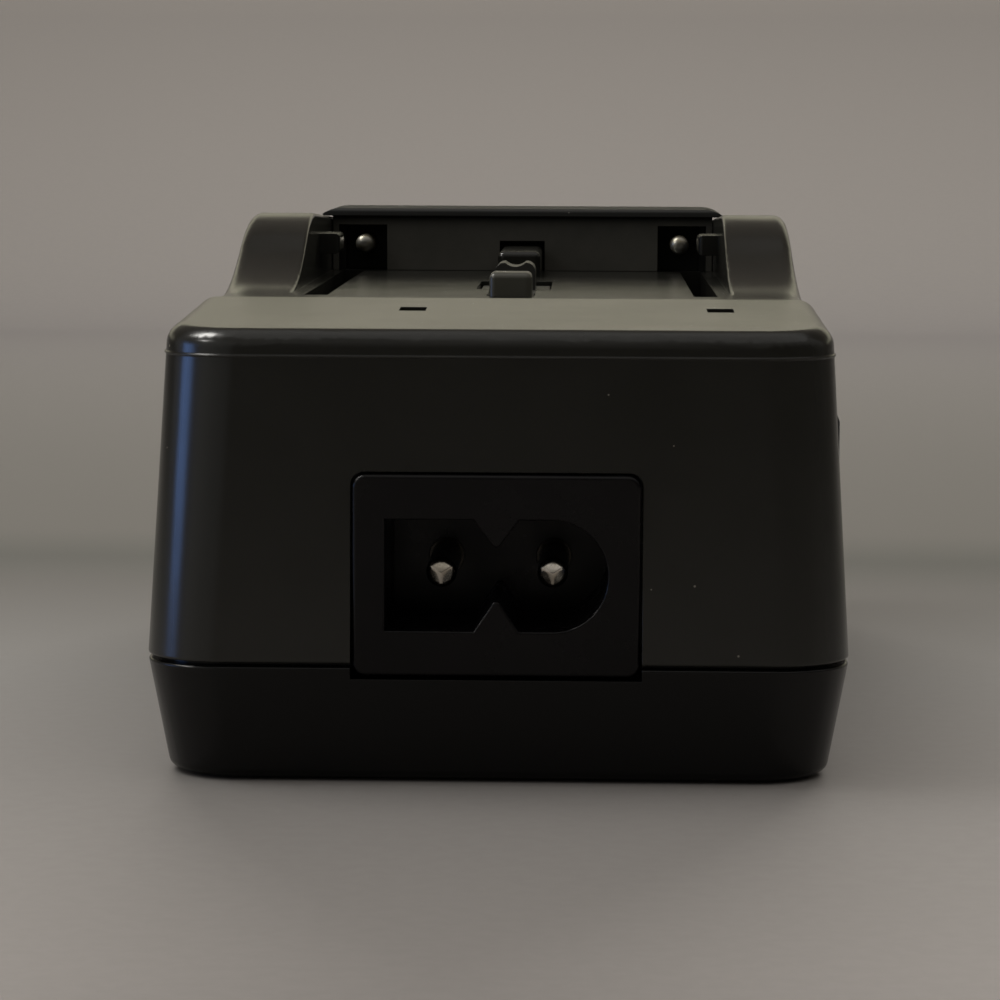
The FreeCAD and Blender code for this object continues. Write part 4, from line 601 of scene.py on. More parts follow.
def glassEpoxyLaminate(name):
    # glass-epoxy board under green solder mask: wider tracks show as paler green, cut edges tan
    look = boardFinish
    material, add, place = startMaterial(name, look["maskColor"], 0.3, 1.55)
    tracks = add("TexBrick", {
        "Vector": place, "Scale": 1 / (look["trackMm"] * mm), "Mortar Size": 0.09, "Mortar Smooth": 0.1,
        "Color1": look["trackColor"], "Color2": "25603a", "Mortar": look["maskColor"],
    }, None, offset=0.35, squash=0.7)
    weave = addBlotches(add, place, 0.4, 0.4, 0.6, 0.0, 0.15)
    mask = add("Mix", {0: weave, 6: tracks.outputs["Color"], 7: "17402a"}, 2, **colorMix)
    facing = add("SeparateXYZ", (add("NewGeometry", output="True Normal"),), "Z")
    edge = add("Math", (facing, 0.0, 0.5), operation="COMPARE")
    color = add("Mix", {0: edge, 6: mask, 7: look["edgeColor"]}, 2, **colorMix)
    raised = add("Bump", {
        "Height": tracks.outputs["Fac"], "Strength": 0.6, "Distance": -look["trackHeightMm"] * mm,
    })
    return finishMaterial(
        material, add, place, color, handling=(0.22, 0.4, 3.0), more={"Normal": raised},
    )


def pvcInsulation(name, hexes, borders):
    # extruded PVC on the leads: even satin colour, changing from lead to lead across X
    material, add, place = startMaterial(name, hexes[0], 0.38, 1.53)
    x = add("SeparateXYZ", (place,), "X")
    color = hexes[0]
    for border, hexText in zip(borders, hexes[1:]):
        beyond = add("Math", (x, border * mm), operation="GREATER_THAN")
        color = add("Mix", {0: beyond, 6: color, 7: hexText}, 2, **colorMix)
    cloud = addBlotches(add, place, 1.5, 0.3, 0.7, 0.0, 0.12)
    color = add("Mix", {0: cloud, 6: color, 7: "3a3836"}, 2, **colorMix)
    return finishMaterial(
        material, add, place, color, handling=(0.32, 0.5, 2.0), relief=[(0.6, 0.006, 2.0)],
    )


fuseFinish = {
    "glassColors": ("d5dcd8", "bcc5c1"),
    "capColor": "b9b6ae",
    "capStart": 5.0,            # mm, from the tube's middle
}


def fuseGlass():
    # glass fuse tube with pressed nickel caps at both ends
    look = fuseFinish
    material, add, place = startMaterial("fuseGlass", "cfd6d2", 0.05)
    low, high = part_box("fuse")
    reach = add("Math", (add("SeparateXYZ", (place,), "Y"), (low[1] + high[1]) / 2), operation="SUBTRACT")
    reach = add("Math", (reach,), operation="ABSOLUTE")
    cap = add("Math", (reach, look["capStart"] * mm), operation="GREATER_THAN")
    glass = addTint(add, place, *look["glassColors"], 3.0)
    color = add("Mix", {0: cap, 6: glass, 7: look["capColor"]}, 2, **colorMix)
    return finishMaterial(material, add, place, color, relief=[(0.8, 0.006, 2.0)], more={
        "Metallic": cap,
        "Transmission Weight": add("Math", (0.85, cap), operation="SUBTRACT", use_clamp=True),
        "Roughness": add("Math", (cap, 0.2, 0.05), operation="MULTIPLY_ADD"),
    })


def dippedEpoxy(name, firstHex, secondHex, roughness, orangePeelMm):
    # powder or dip coating over a ceramic disc: thick, glossy, with orange peel
    return evenMaterial(
        name, firstHex, roughness, 1.55, tint=(firstHex, secondHex, 1.5),
        handling=(roughness * 0.8, roughness * 1.4, 2.0),
        relief=[(orangePeelMm, 0.02, 1.5), (0.15, 0.003, 2.0)], roundMm=0.15,
    )


def mouldedEpoxy():
    # transfer-moulded black epoxy of the chips and transistors: dead matt, glass-filled sparkle
    return evenMaterial(
        "mouldedEpoxy", "222224", 0.6, 1.55, tint=("1f1f21", "2c2c2e", 0.3), handling=(0.5, 0.72, 1.0),
        relief=[(0.1, 0.008, 3.0)], roundMm=0.1, dust=(0.5, 0.04, 0.15, "5b5b5e"),
    )


def sinteredFerrite():
    # sintered ferrite: charcoal grey, matt, coarse to the touch and speckled with pores
    return evenMaterial(
        "sinteredFerrite", "35353a", 0.62, 1.9, tint=("2f2f33", "434347", 1.0), handling=(0.5, 0.72, 1.2),
        relief=[(0.35, 0.02, 3.0)], roundMm=0.12, dust=(0.6, 0.06, 0.3, "1a1a1c"),
    )


def filledNylon():
    # glass-filled nylon bobbin: off-white, silky, with darker flow marks
    return evenMaterial(
        "filledNylon", "cfc8b4", 0.45, 1.53, tint=("d3ccb9", "bcb39c", 2.5), handling=(0.38, 0.55, 2.0),
        relief=[(0.2, 0.006, 3.0)], roundMm=0.1,
        more={"Subsurface Weight": 0.1, "Subsurface Scale": 1.0 * mm},
    )


tapeFinish = {
    "colors": ("cfab42", "b8922d"),
    "lineColor": "8f6f1e",
    "lineSpacing": 0.55,        # mm
}


def polyesterTape():
    # yellow polyester tape round the winding: glossy, its layers ending in fine lines
    look = tapeFinish
    material, add, place = startMaterial("polyesterTape", "c9a63c", 0.24, 1.6)
    z = add("SeparateXYZ", (place,), "Z")
    wave = add("Math", (z, 2 * math.pi / (look["lineSpacing"] * mm)), operation="MULTIPLY")
    wave = add("Math", (wave,), operation="SINE")
    lines = add("MapRange", (wave, 0.85, 1.0, 0.0, 0.35), **smoothStep)
    tint = addTint(add, place, *look["colors"], 4.0)
    color = add("Mix", {0: lines, 6: tint, 7: look["lineColor"]}, 2, **colorMix)
    return finishMaterial(
        material, add, place, color, handling=(0.18, 0.34, 3.0), relief=[(1.8, 0.02, 2.0)], roundMm=0.2,
    )


def capacitorFilmBox():
    # potted film capacitor: grey PBT box with smooth, very slightly wavy moulded sides
    return evenMaterial(
        "capacitorFilmBox", "8b8f94", 0.34, 1.55, tint=("8e9297", "7b7f84", 5.0),
        handling=(0.28, 0.44, 4.0), relief=[(2.5, 0.012, 1.0), (0.15, 0.004, 2.0)], roundMm=0.15,
    )


sleeveFinish = {
    "colors": ("1c2740", "243150"),
    "stripeColor": "b4b8bd",
    "topColor": "b7b9ba",
    "stripeFrom": 0.86,         # shares of the can's radius
    "topWithin": 0.8,
    "ownWithin": 1.3,
}


def capacitorSleeve(name, centres, radius, topZ):
    # PVC sleeve shrunk on an aluminium can: dark blue with one pale polarity stripe, bare
    # aluminium on top inside the rolled edge
    look = sleeveFinish
    material, add, place = startMaterial(name, look["colors"][0], 0.3, 1.53)
    x, y, z = add("SeparateXYZ", (place,), None).outputs
    stripes, tops = 0.0, 0.0
    for centreX, centreY, foot in centres:
        dx = add("Math", (x, centreX), operation="SUBTRACT")
        dy = add("Math", (y, centreY), operation="SUBTRACT")
        away = add("VectorMath", (add("CombineXYZ", (dx, dy)),), "Value", operation="LENGTH")
        own = add("Math", (away, radius * look["ownWithin"]), operation="LESS_THAN")
        beside = add("Math", (dx, radius * look["stripeFrom"]), operation="GREATER_THAN")
        stripe = add("Math", (beside, own), operation="MULTIPLY")
        inner = add("Math", (away, radius * look["topWithin"]), operation="LESS_THAN")
        stripes = add("Math", (stripes, stripe), operation="MAXIMUM")
        tops = add("Math", (tops, inner), operation="MAXIMUM")
    above = add("Math", (z, topZ - 0.2 * mm), operation="GREATER_THAN")
    bare = add("Math", (tops, above), operation="MULTIPLY")
    sleeve = addTint(add, place, *look["colors"], 4.0)
    sleeve = add("Mix", {0: stripes, 6: sleeve, 7: look["stripeColor"]}, 2, **colorMix)
    color = add("Mix", {0: bare, 6: sleeve, 7: look["topColor"]}, 2, **colorMix)
    return finishMaterial(
        material, add, place, color, handling=(0.24, 0.4, 3.0), relief=[(1.2, 0.01, 2.0)], roundMm=0.15,
        more={"Metallic": bare},
    )


resistorFinish = {
    "colors": ("b89e77", "a88d66"),
    "bands": {-1.9: "7a3b1d", -0.9: "1d1c1b", 0.1: "b3422a", 1.9: "b8923a"},    # mm from the middle
    "bandHalfWidth": 0.3,
    "bodyHalfLength": 3.02,
    "legColor": "b9b8b4",
}


def resistorLacquer():
    # beige lacquer with painted bands, generic values, tinned legs at both ends
    look = resistorFinish
    material, add, place = startMaterial("resistorLacquer", "b59b74", 0.35, 1.53)
    low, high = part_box("resistors")
    y = add("Math", (add("SeparateXYZ", (place,), "Y"), (low[1] + high[1]) / 2), operation="SUBTRACT")
    color = addTint(add, place, *look["colors"], 1.0)
    for at, hexText in look["bands"].items():
        band = add("Math", (y, at * mm, look["bandHalfWidth"] * mm), operation="COMPARE")
        color = add("Mix", {0: band, 6: color, 7: hexText}, 2, **colorMix)
    reach = add("Math", (y,), operation="ABSOLUTE")
    leg = add("Math", (reach, look["bodyHalfLength"] * mm), operation="GREATER_THAN")
    color = add("Mix", {0: leg, 6: color, 7: look["legColor"]}, 2, **colorMix)
    return finishMaterial(
        material, add, place, color, handling=(0.28, 0.42, 0.8), relief=[(0.4, 0.008, 2.0)],
        more={"Metallic": leg},
    )


print("materials ready")


# Pieces that carry over from the frame

def mergedMesh(node, name):
    # copy of a node's mesh with its split corners joined again
    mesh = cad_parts[node].data.copy()
    mesh.name = name
    build = bmesh.new()
    build.from_mesh(mesh)
    bmesh.ops.remove_doubles(build, verts=build.verts, dist=0.002 * mm)
    bmesh.ops.dissolve_degenerate(build, edges=build.edges, dist=0.0005 * mm)
    build.to_mesh(mesh)
    build.free()
    return mesh


def flatRegions(build):
    # numbers the faces by flat region: neighbours within a third of a degree share a number
    limit = math.cos(math.radians(0.35))
    region = [-1] * len(build.faces)
    areas = []
    for first in build.faces:
        if region[first.index] >= 0:
            continue
        number = len(areas)
        areas.append(0.0)
        region[first.index] = number
        waiting = [first]
        while waiting:
            face = waiting.pop()
            areas[number] += face.calc_area()
            for edge in face.edges:
                for other in edge.link_faces:
                    if region[other.index] < 0 and first.normal.dot(other.normal) > limit:
                        region[other.index] = number
                        waiting.append(other)
    return region, areas


def trueNormals(mesh, sharpAngle):
    # corner normals weighted by flat region, so that flats stay flat and only fillets turn
    build = bmesh.new()
    build.from_mesh(mesh)
    build.faces.ensure_lookup_table()
    build.normal_update()
    region, areas = flatRegions(build)
    limit = math.cos(math.radians(sharpAngle))
    normals = [None] * len(mesh.loops)
    for vert in build.verts:
        left = set(vert.link_faces)
        while left:
            fan = [left.pop()]
            for face in fan:
                for edge in face.edges:
                    if vert not in edge.verts:
                        continue
                    for other in edge.link_faces:
                        if other in left and face.normal.dot(other.normal) > limit:
                            left.remove(other)
                            fan.append(other)
            shares = {}
            for face in fan:
                shares[region[face.index]] = face.normal * areas[region[face.index]]
            normal = sum(shares.values(), Vector()).normalized()
            for face in fan:
                for loop in face.loops:
                    if loop.vert == vert:
                        normals[loop.index] = normal
    build.free()
    mesh.normals_split_custom_set(normals)


def placePiece(name, mesh, material, body, nodes, sharpAngle=30.0):
    mesh.materials.clear()
    mesh.materials.append(material)
    for face in mesh.polygons:
        face.use_smooth = True
        face.material_index = 0
    mesh.set_sharp_from_angle(angle=math.radians(sharpAngle))
    trueNormals(mesh, sharpAngle)
    piece = bpy.data.objects.new(name, mesh)
    scene.collection.objects.link(piece)
    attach(piece, body)
    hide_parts(*nodes)
    return piece


def smoothPiece(name, node, material, sharpAngle=30.0, body="charger"):
    return placePiece(name, mergedMesh(node, name), material, body, [node], sharpAngle)


def islandBoxes(node):
    # lowest and highest corner of each separate solid of a node, in metres
    build = bmesh.new()
    build.from_mesh(mergedMesh(node, "islands"))
    left = set(build.verts)
    boxes = []
    while left:
        seeds = [left.pop()]
        found = list(seeds)
        while seeds:
            for edge in seeds.pop().link_edges:
                for vert in edge.verts:
                    if vert in left:
                        left.remove(vert)
                        seeds.append(vert)
                        found.append(vert)
        if len(found) > 3:    # less is a stray edge, not a solid
            low = Vector([min(v.co[i] for v in found) for i in range(3)])
            high = Vector([max(v.co[i] for v in found) for i in range(3)])
            boxes.append((low, high))
    build.free()
    return sorted(boxes, key=lambda pair: tuple(round(c, 5) for c in pair[0]))


def axisPoints(boxes, onTop=False):
    # where each solid's upright axis meets its lowest or its highest level
    return [((a.x + b.x) / 2, (a.y + b.y) / 2, b.z if onTop else a.z) for a, b in boxes]


# Geometry Nodes: trees for what is turned, threaded, wound or coiled

socketKinds = {float: "Float", int: "Int", tuple: "Vector"}


def startTree(name, sizes):
    # sizes are the named inputs with their defaults, or with their kind where there is no default
    tree = bpy.data.node_groups.new(name, "GeometryNodeTree")
    newSocket = tree.interface.new_socket
    newSocket("Geometry", in_out="INPUT", socket_type="NodeSocketGeometry")
    for label, value in sizes.items():
        kind = value if isinstance(value, str) else socketKinds[type(value)]
        socket = newSocket(label, in_out="INPUT", socket_type="NodeSocket" + kind)
        if kind != value:
            socket.default_value = value
    newSocket("Geometry", in_out="OUTPUT", socket_type="NodeSocketGeometry")
    return tree, partial(addNode, tree), tree.nodes.new("NodeGroupInput").outputs


def endTree(tree, add, geometry, finish):
    # every tree ends alike: real geometry, smooth, in its material
    whole = add("GeometryNodeRealizeInstances", (geometry,))
    smooth = add("GeometryNodeSetShadeSmooth", (whole,))
    painted = add("GeometryNodeSetMaterial", {0: smooth, "Material": finish})
    add("NodeGroupOutput", (painted,), None)
    return tree


def bakeTree(name, tree, values, places):
    # runs a tree on points at the places and keeps the result as a plain mesh
    points = bpy.data.meshes.new(name + "Points")
    points.from_pydata([tuple(p) for p in places], [], [])
    carrier = bpy.data.objects.new(name + "Carrier", points)
    scene.collection.objects.link(carrier)
    modifier = carrier.modifiers.new(name, "NODES")
    modifier.node_group = tree
    for item in tree.interface.items_tree:
        if item.in_out == "INPUT" and item.name in values:
            modifier[item.identifier] = values[item.name]
    mesh = bpy.data.meshes.new_from_object(carrier.evaluated_get(bpy.context.evaluated_depsgraph_get()))
    mesh.name = name
    carrier.modifiers.clear()
    bpy.data.objects.remove(carrier)
    print(name, "built with", len(mesh.polygons), "faces")
    return mesh


def profileObject(name, steps):
    # half section for turning: (radius, height) in mm from the top of the axis, outward and down;
    # turned sections run from their far end to the start
    steps = steps[::-1]
    mesh = bpy.data.meshes.new(name)
    mesh.from_pydata(
        [(r * mm, -z * mm, 0) for r, z in steps], [(i, i + 1) for i in range(len(steps) - 1)], [],
    )
    shape = bpy.data.objects.new(name, mesh)
    scene.collection.objects.link(shape)
    return shape


def turnedShape(add, profile, segments):
    # spins the half section about Z on a hair-thin circle, then closes the axis
    section = add("GeometryNodeObjectInfo", {"Object": profile}, "Geometry", transform_space="ORIGINAL")
    line = add("GeometryNodeMeshToCurve", (section,))
    ring = add("GeometryNodeCurvePrimitiveCircle", {"Resolution": segments, "Radius": 0.0005 * mm})
    spun = add("GeometryNodeCurveToMesh", {"Curve": ring, "Profile Curve": line})
    return add("GeometryNodeMergeByDistance", {0: spun, "Distance": 0.002 * mm})


def roundWire(add, path, radius, sides, caps=False):
    # a wire of round section along a path
    ring = add("GeometryNodeCurvePrimitiveCircle", {"Resolution": sides, "Radius": radius})
    return add("GeometryNodeCurveToMesh", {"Curve": path, "Profile Curve": ring, "Fill Caps": caps})


def standAt(add, points, shape, turn, spread):
    # copies at the points, turned as the part stands and each spun a little differently
    lean = add("FunctionNodeEulerToRotation", (turn,))
    spin = add("FunctionNodeRandomValue", {2: 0.0, 3: spread, "Seed": 7}, 1, data_type="FLOAT")
    ownSpin = add("FunctionNodeEulerToRotation", (add("CombineXYZ", {"Z": spin}),))
    both = add("FunctionNodeRotateRotation", (lean, ownSpin), rotation_space="LOCAL")
    return add("GeometryNodeInstanceOnPoints", {"Points": points, "Instance": shape, "Rotation": both})


def makeTurnedTree():
    # the section spun, one copy on each point
    tree, add, given = startTree("turnedParts", {
        "Profile": "Object", "Segments": 48, "Turn": (0.0, 0.0, 0.0), "Spread": 6.28, "Finish": "Material",
    })
    shape = turnedShape(add, given["Profile"], given["Segments"])
    copies = standAt(add, given["Geometry"], shape, given["Turn"], given["Spread"])
    return endTree(tree, add, copies, given["Finish"])


def makeScrewTree():
    # head and core from the section, cross recess cut in, thread wound round the core
    tree, add, given = startTree("crossScrews", {
        "Profile": "Object", "Thread Start": 2.0 * mm, "Thread Length": 8.0 * mm, "Thread Radius": 1.0 * mm,
        "Ridge Radius": 0.2 * mm, "Turns": 10.0, "Recess Reach": 1.0 * mm, "Recess Width": 0.5 * mm,
        "Recess Depth": 0.7 * mm, "Turn": (0.0, 0.0, 0.0), "Spread": 6.28, "Segments": 48,
        "Finish": "Material",
    })
    body = turnedShape(add, given["Profile"], given["Segments"])
    depth = add("Math", (given["Recess Depth"], 2.0), operation="MULTIPLY")
    sizes = [
        add("CombineXYZ", (given["Recess Reach"], given["Recess Width"], depth)),
        add("CombineXYZ", (given["Recess Width"], given["Recess Reach"], depth)),
    ]
    arms = [add("GeometryNodeMeshCube", (size,)) for size in sizes]
    cut = add("GeometryNodeMeshBoolean", (body, arms), operation="DIFFERENCE", solver="EXACT")
    helix = add("GeometryNodeCurveSpiral", {
        "Resolution": 24, "Rotations": given["Turns"], "Start Radius": given["Thread Radius"],
        "End Radius": given["Thread Radius"], "Height": given["Thread Length"],
    })
    thread = roundWire(add, helix, given["Ridge Radius"], 4, True)
    up = add("CombineXYZ", {"Z": given["Thread Start"]})
    raised = add("GeometryNodeTransform", {0: thread, "Translation": up})
    whole = add("GeometryNodeJoinGeometry", ([cut, raised],))
    copies = standAt(add, given["Geometry"], whole, given["Turn"], given["Spread"])
    return endTree(tree, add, copies, given["Finish"])


def makeCoilTree():
    # round wire wound as a spring, its turns closer at both ends
    tree, add, given = startTree("coilSpring", {
        "Coil Radius": 2.5 * mm, "Wire Radius": 0.27 * mm, "Turns": 4.5, "Height": 6.0 * mm,
        "End Share": 0.16, "Finish": "Material",
    })
    helix = add("GeometryNodeCurveSpiral", {
        "Resolution": 40, "Rotations": given["Turns"], "Start Radius": given["Coil Radius"],
        "End Radius": given["Coil Radius"], "Height": given["Height"],
    })
    z = add("SeparateXYZ", (add("GeometryNodeInputPosition"),), "Z")
    # one sine wave over the height pulls the turns of each half towards its end
    wave = add("Math", (z, given["Height"]), operation="DIVIDE")
    wave = add("Math", (wave, 2 * math.pi), operation="MULTIPLY")
    wave = add("Math", (wave,), operation="SINE")
    slip = add("Math", (wave, given["End Share"]), operation="MULTIPLY")
    slip = add("Math", (slip, given["Height"]), operation="MULTIPLY")
    slip = add("Math", (slip, -0.5), operation="MULTIPLY")
    wound = add("GeometryNodeSetPosition", {0: helix, "Offset": add("CombineXYZ", {"Z": slip})})
    coil = roundWire(add, wound, given["Wire Radius"], 12, True)
    copies = add("GeometryNodeInstanceOnPoints", {"Points": given["Geometry"], "Instance": coil})
    return endTree(tree, add, copies, given["Finish"])


def makeWindingTree():
    # two half windings of rounded loops round a standing ring
    tree, add, given = startTree("chokeWindings", {
        "Ring Radius": 4.5 * mm, "Loop Width": 3.6 * mm, "Loop Depth": 5.6 * mm, "Wire Radius": 0.3 * mm,
        "Corner Radius": 0.6 * mm, "Turns": 7, "First Angle": 0.6, "Last Angle": 2.5, "Finish": "Material",
    })
    loop = add("GeometryNodeCurvePrimitiveQuadrilateral", {
        "Width": given["Loop Width"], "Height": given["Loop Depth"],
    })
    rounded = add("GeometryNodeFilletCurve", {
        "Curve": loop, "Count": 5, "Radius": given["Corner Radius"],
    }, mode="POLY")
    turn = roundWire(add, rounded, given["Wire Radius"], 10)
    last = add("Math", (given["Turns"], 1.0), operation="SUBTRACT")
    last = add("Math", (last, 1.0), operation="MAXIMUM")
    span = add("Math", (given["Last Angle"], given["First Angle"]), operation="SUBTRACT")
    halves = []
    for side in (-1.0, 1.0):
        line = add("GeometryNodeMeshLine", {"Count": given["Turns"]})
        share = add("Math", (add("GeometryNodeInputIndex"), last), operation="DIVIDE")
        swing = add("Math", (share, span, given["First Angle"]), operation="MULTIPLY_ADD")
        angle = add("Math", (swing, side, math.pi / 2), operation="MULTIPLY_ADD")
        across = add("Math", (angle,), operation="COSINE")
        across = add("Math", (across, given["Ring Radius"]), operation="MULTIPLY")
        up = add("Math", (angle,), operation="SINE")
        up = add("Math", (up, given["Ring Radius"]), operation="MULTIPLY")
        place = add("CombineXYZ", {"X": across, "Z": up})
        spaced = add("GeometryNodeSetPosition", {0: line, "Position": place})
        back = add("Math", (angle, -1.0), operation="MULTIPLY")
        facing = add("FunctionNodeEulerToRotation", (add("CombineXYZ", {"Y": back}),))
        halves.append(add("GeometryNodeInstanceOnPoints", {
            "Points": spaced, "Instance": turn, "Rotation": facing,
        }))
    whole = add("GeometryNodeJoinGeometry", (halves,))
    copies = add("GeometryNodeInstanceOnPoints", {"Points": given["Geometry"], "Instance": whole})
    return endTree(tree, add, copies, given["Finish"])


turnedTree = makeTurnedTree()
screwTree = makeScrewTree()
coilTree = makeCoilTree()
windingTree = makeWindingTree()
print("node trees ready")


# Screws: one kind for the casing, one smaller kind for everything inside

casingScrew = {              # mm
    "headHeight": 1.5,
    "shankRadius": 1.2,
    "coreShare": 0.76,       # of the shank's radius, the rest is thread
    "ridgeShare": 0.24,
    "neck": 0.5,             # plain core under the head
    "point": 0.9,            # plain core at the tip
    "threadPitch": 1.1,
    "recessReach": 1.43,     # from the axis to the end of a slot
    "recessWidth": 0.5,
    "recessDepth": 0.7,
    "spread": 6.28,          # radians, each screw stops at another angle
    "segments": 40,
}

smallScrew = dict(casingScrew, headHeight=1.1, shankRadius=0.95, threadPitch=0.8, recessReach=1.12)


def screwSection(name, kind, radius, length):
    # pan head with a domed face and rolled edge, flat under, then the core and its blunt point
    head, core = kind["headHeight"], kind["shankRadius"] * kind["coreShare"]
    return profileObject(name, [
        (0, 0), (0.45 * radius, 0.03), (0.72 * radius, 0.11), (0.87 * radius, 0.24),
        (0.96 * radius, 0.43), (radius, 0.66), (radius, head - 0.05), (radius - 0.05, head),
        (core + 0.12, head), (core, head + 0.12), (core, length - 0.6), (core * 0.45, length), (0, length),
    ])


def makeScrews(name, node, kind, fromAbove=False):
    boxes = islandBoxes(node)
    low, high = boxes[0]
    length = (high.z - low.z) / mm
    section = screwSection(name + "Section", kind, (high.x - low.x) / 2 / mm, length)
    ridge = kind["shankRadius"] * kind["ridgeShare"]
    threadStart = kind["headHeight"] + kind["neck"]
    threadLength = length - threadStart - kind["point"]
    mesh = bakeTree(name, screwTree, {
        "Profile": section,
        "Thread Start": threadStart * mm,
        "Thread Length": threadLength * mm,
        "Thread Radius": (kind["shankRadius"] - ridge) * mm,
        "Ridge Radius": ridge * mm,
        "Turns": threadLength / kind["threadPitch"],
        "Recess Reach": kind["recessReach"] * 2 * mm,
        "Recess Width": kind["recessWidth"] * mm,
        "Recess Depth": kind["recessDepth"] * mm,
        "Turn": (math.pi if fromAbove else 0.0, 0.0, 0.0),
        "Spread": kind["spread"],
        "Segments": kind["segments"],
        "Finish": screwSteel,
    }, axisPoints(boxes, fromAbove))
    bpy.data.objects.remove(section)
    placePiece(name, mesh, screwSteel, "charger", [node], 32.0)


screwSteel = zincPlatedSteel()
makeScrews("casingScrewSet", "casing_screws", casingScrew)
for node in ("plate_screws", "housing_screws", "retainer_screws", "indicator_screws"):
    makeScrews(node.replace("_screws", "ScrewSet"), node, smallScrew)
makeScrews("boardScrewSet", "board_screws", smallScrew, fromAbove=True)
print("screws done")


# Feet: turned rubber pads with a rolled lower edge

foot = {
    "edgeRadius": 0.35,
    "edgeSteps": 6,
    "topBevel": 0.08,
    "dimpleRadius": 2.4,      # shallow moulded dish in the sole
    "dimpleRim": 0.3,
    "dimpleDepth": 0.06,
    "segments": 64,
}


def makeFeet():
    boxes = islandBoxes("feet")
    low, high = boxes[0]
    radius, height = (high.x - low.x) / 2 / mm, (high.z - low.z) / mm
    r, bevel, dish, dip = foot["edgeRadius"], foot["topBevel"], foot["dimpleRadius"], foot["dimpleDepth"]
    steps = [(0, dip), (dish - foot["dimpleRim"], dip), (dish, 0)]
    for i in range(foot["edgeSteps"] + 1):
        angle = math.radians(90 * i / foot["edgeSteps"])
        steps.append((radius - r + r * math.sin(angle), r - r * math.cos(angle)))
    steps += [(radius, height - bevel), (radius - bevel, height), (0, height)]
    section = profileObject("footSection", steps)
    rubber = siliconeRubber()
    mesh = bakeTree("footSet", turnedTree, {
        "Profile": section, "Segments": foot["segments"], "Turn": (0.0, 0.0, 0.0), "Spread": 0.0,
        "Finish": rubber,
    }, axisPoints(boxes))
    bpy.data.objects.remove(section)
    placePiece("footSet", mesh, rubber, "charger", ["feet"], 40.0)
    print("feet done")


makeFeet()


# Mouldings seen from outside

earFillet = {           # the rounded inner edges of the ears' curved fronts, in mm
    "inner": 19.49,     # from the middle to the ear's inner wall
    "outer": 19.91,     # from the middle to the ear's front
    "above": 35.5,
}


def evenEars():
    # the plate, with the diagonals in its ears' fillets turned so that their strips follow the curve
    mesh = mergedMesh("battery_plate", "batteryPlate")
    build = bmesh.new()
    build.from_mesh(mesh)
    build.normal_update()
    rounded = {
        face for face in build.faces
        if abs(face.normal.x) < 0.9995
        and all(earFillet["inner"] * mm < abs(vert.co.x) < earFillet["outer"] * mm for vert in face.verts)
        and all(vert.co.z > earFillet["above"] * mm for vert in face.verts)
    }
    diagonals = [edge for edge in build.edges if all(face in rounded for face in edge.link_faces)]
    bmesh.ops.beautify_fill(build, faces=list(rounded), edges=diagonals, method="ANGLE")
    build.to_mesh(mesh)
    build.free()
    return mesh


mattAbs = mattMouldedAbs()
gripTpe = thermoplasticElastomer()
smoothPiece("upperShell", "upper_casing", sparkTexturedAbs("sparkTexturedAbs", casingFinish))
# painted shade: the lower shell takes a darker copy of the casing's ABS
smoothPiece("lowerShell", "lower_casing", sparkTexturedAbs("shadedLowerAbs", shadedLowerFinish))
placePiece("batteryPlate", evenEars(), slidWornAbs(), "charger", ["battery_plate"])
smoothPiece("terminalHousing", "terminal_housing", mattAbs)
smoothPiece("catchRetainer", "catch_retainer", mattAbs)
smoothPiece("inletHousing", "inlet_housing", smoothMouldedPbt())
smoothPiece("leftGrip", "grip_left", gripTpe)
smoothPiece("rightGrip", "grip_right", gripTpe)
smoothPiece("ratingPlate", "rating_plate", polyesterLabel())
smoothPiece("indicatorWindows", "indicator_windows", smokedPolycarbonate(), 20.0)
smoothPiece("catchBody", "catch", polishedAcetal(), 30.0, "catch")
print("mouldings done")


# Inlet pins: their tips pressed to three flats with rounded ridges between

pinTip = {
    "cutBehind": 0.95,        # mm, how much of the tip is made new
    "flatAngles": (90, 210, 330),
    "flatSlope": 34.0,        # degrees, each flat to the pin's end
    "flatStart": 0.12,        # mm, from the axis to the flats' feet
    "ridgeWidth": 0.07,       # mm, over which two flats blend
    "ridgeSink": 0.0084,      # mm, taken off where they do
    "edgeRadius": 0.4,
    "rings": 14,
    "ringCrowding": 0.75,     # under 1 puts more rings near the edge
}


def tipDepth(x, z, radius):
    # how far behind the pin's foremost point its surface lies, in mm
    depth, blend = 0.0, pinTip["ridgeWidth"]
    for angle in pinTip["flatAngles"]:
        toward = x * math.cos(math.radians(angle)) + z * math.sin(math.radians(angle))
        rise = (toward - pinTip["flatStart"]) * math.tan(math.radians(pinTip["flatSlope"]))
        # soft maximum, so the flats meet in rounded ridges
        depth = 0.5 * (depth + rise + math.sqrt((depth - rise) ** 2 + blend * blend)) - pinTip["ridgeSink"]
    edge = pinTip["edgeRadius"]
    over = min(math.hypot(x, z) - (radius - edge), edge)
    if over > 0:
        depth += edge - math.sqrt(max(edge ** 2 - over ** 2, 0.0))
    return max(depth, 0.0)


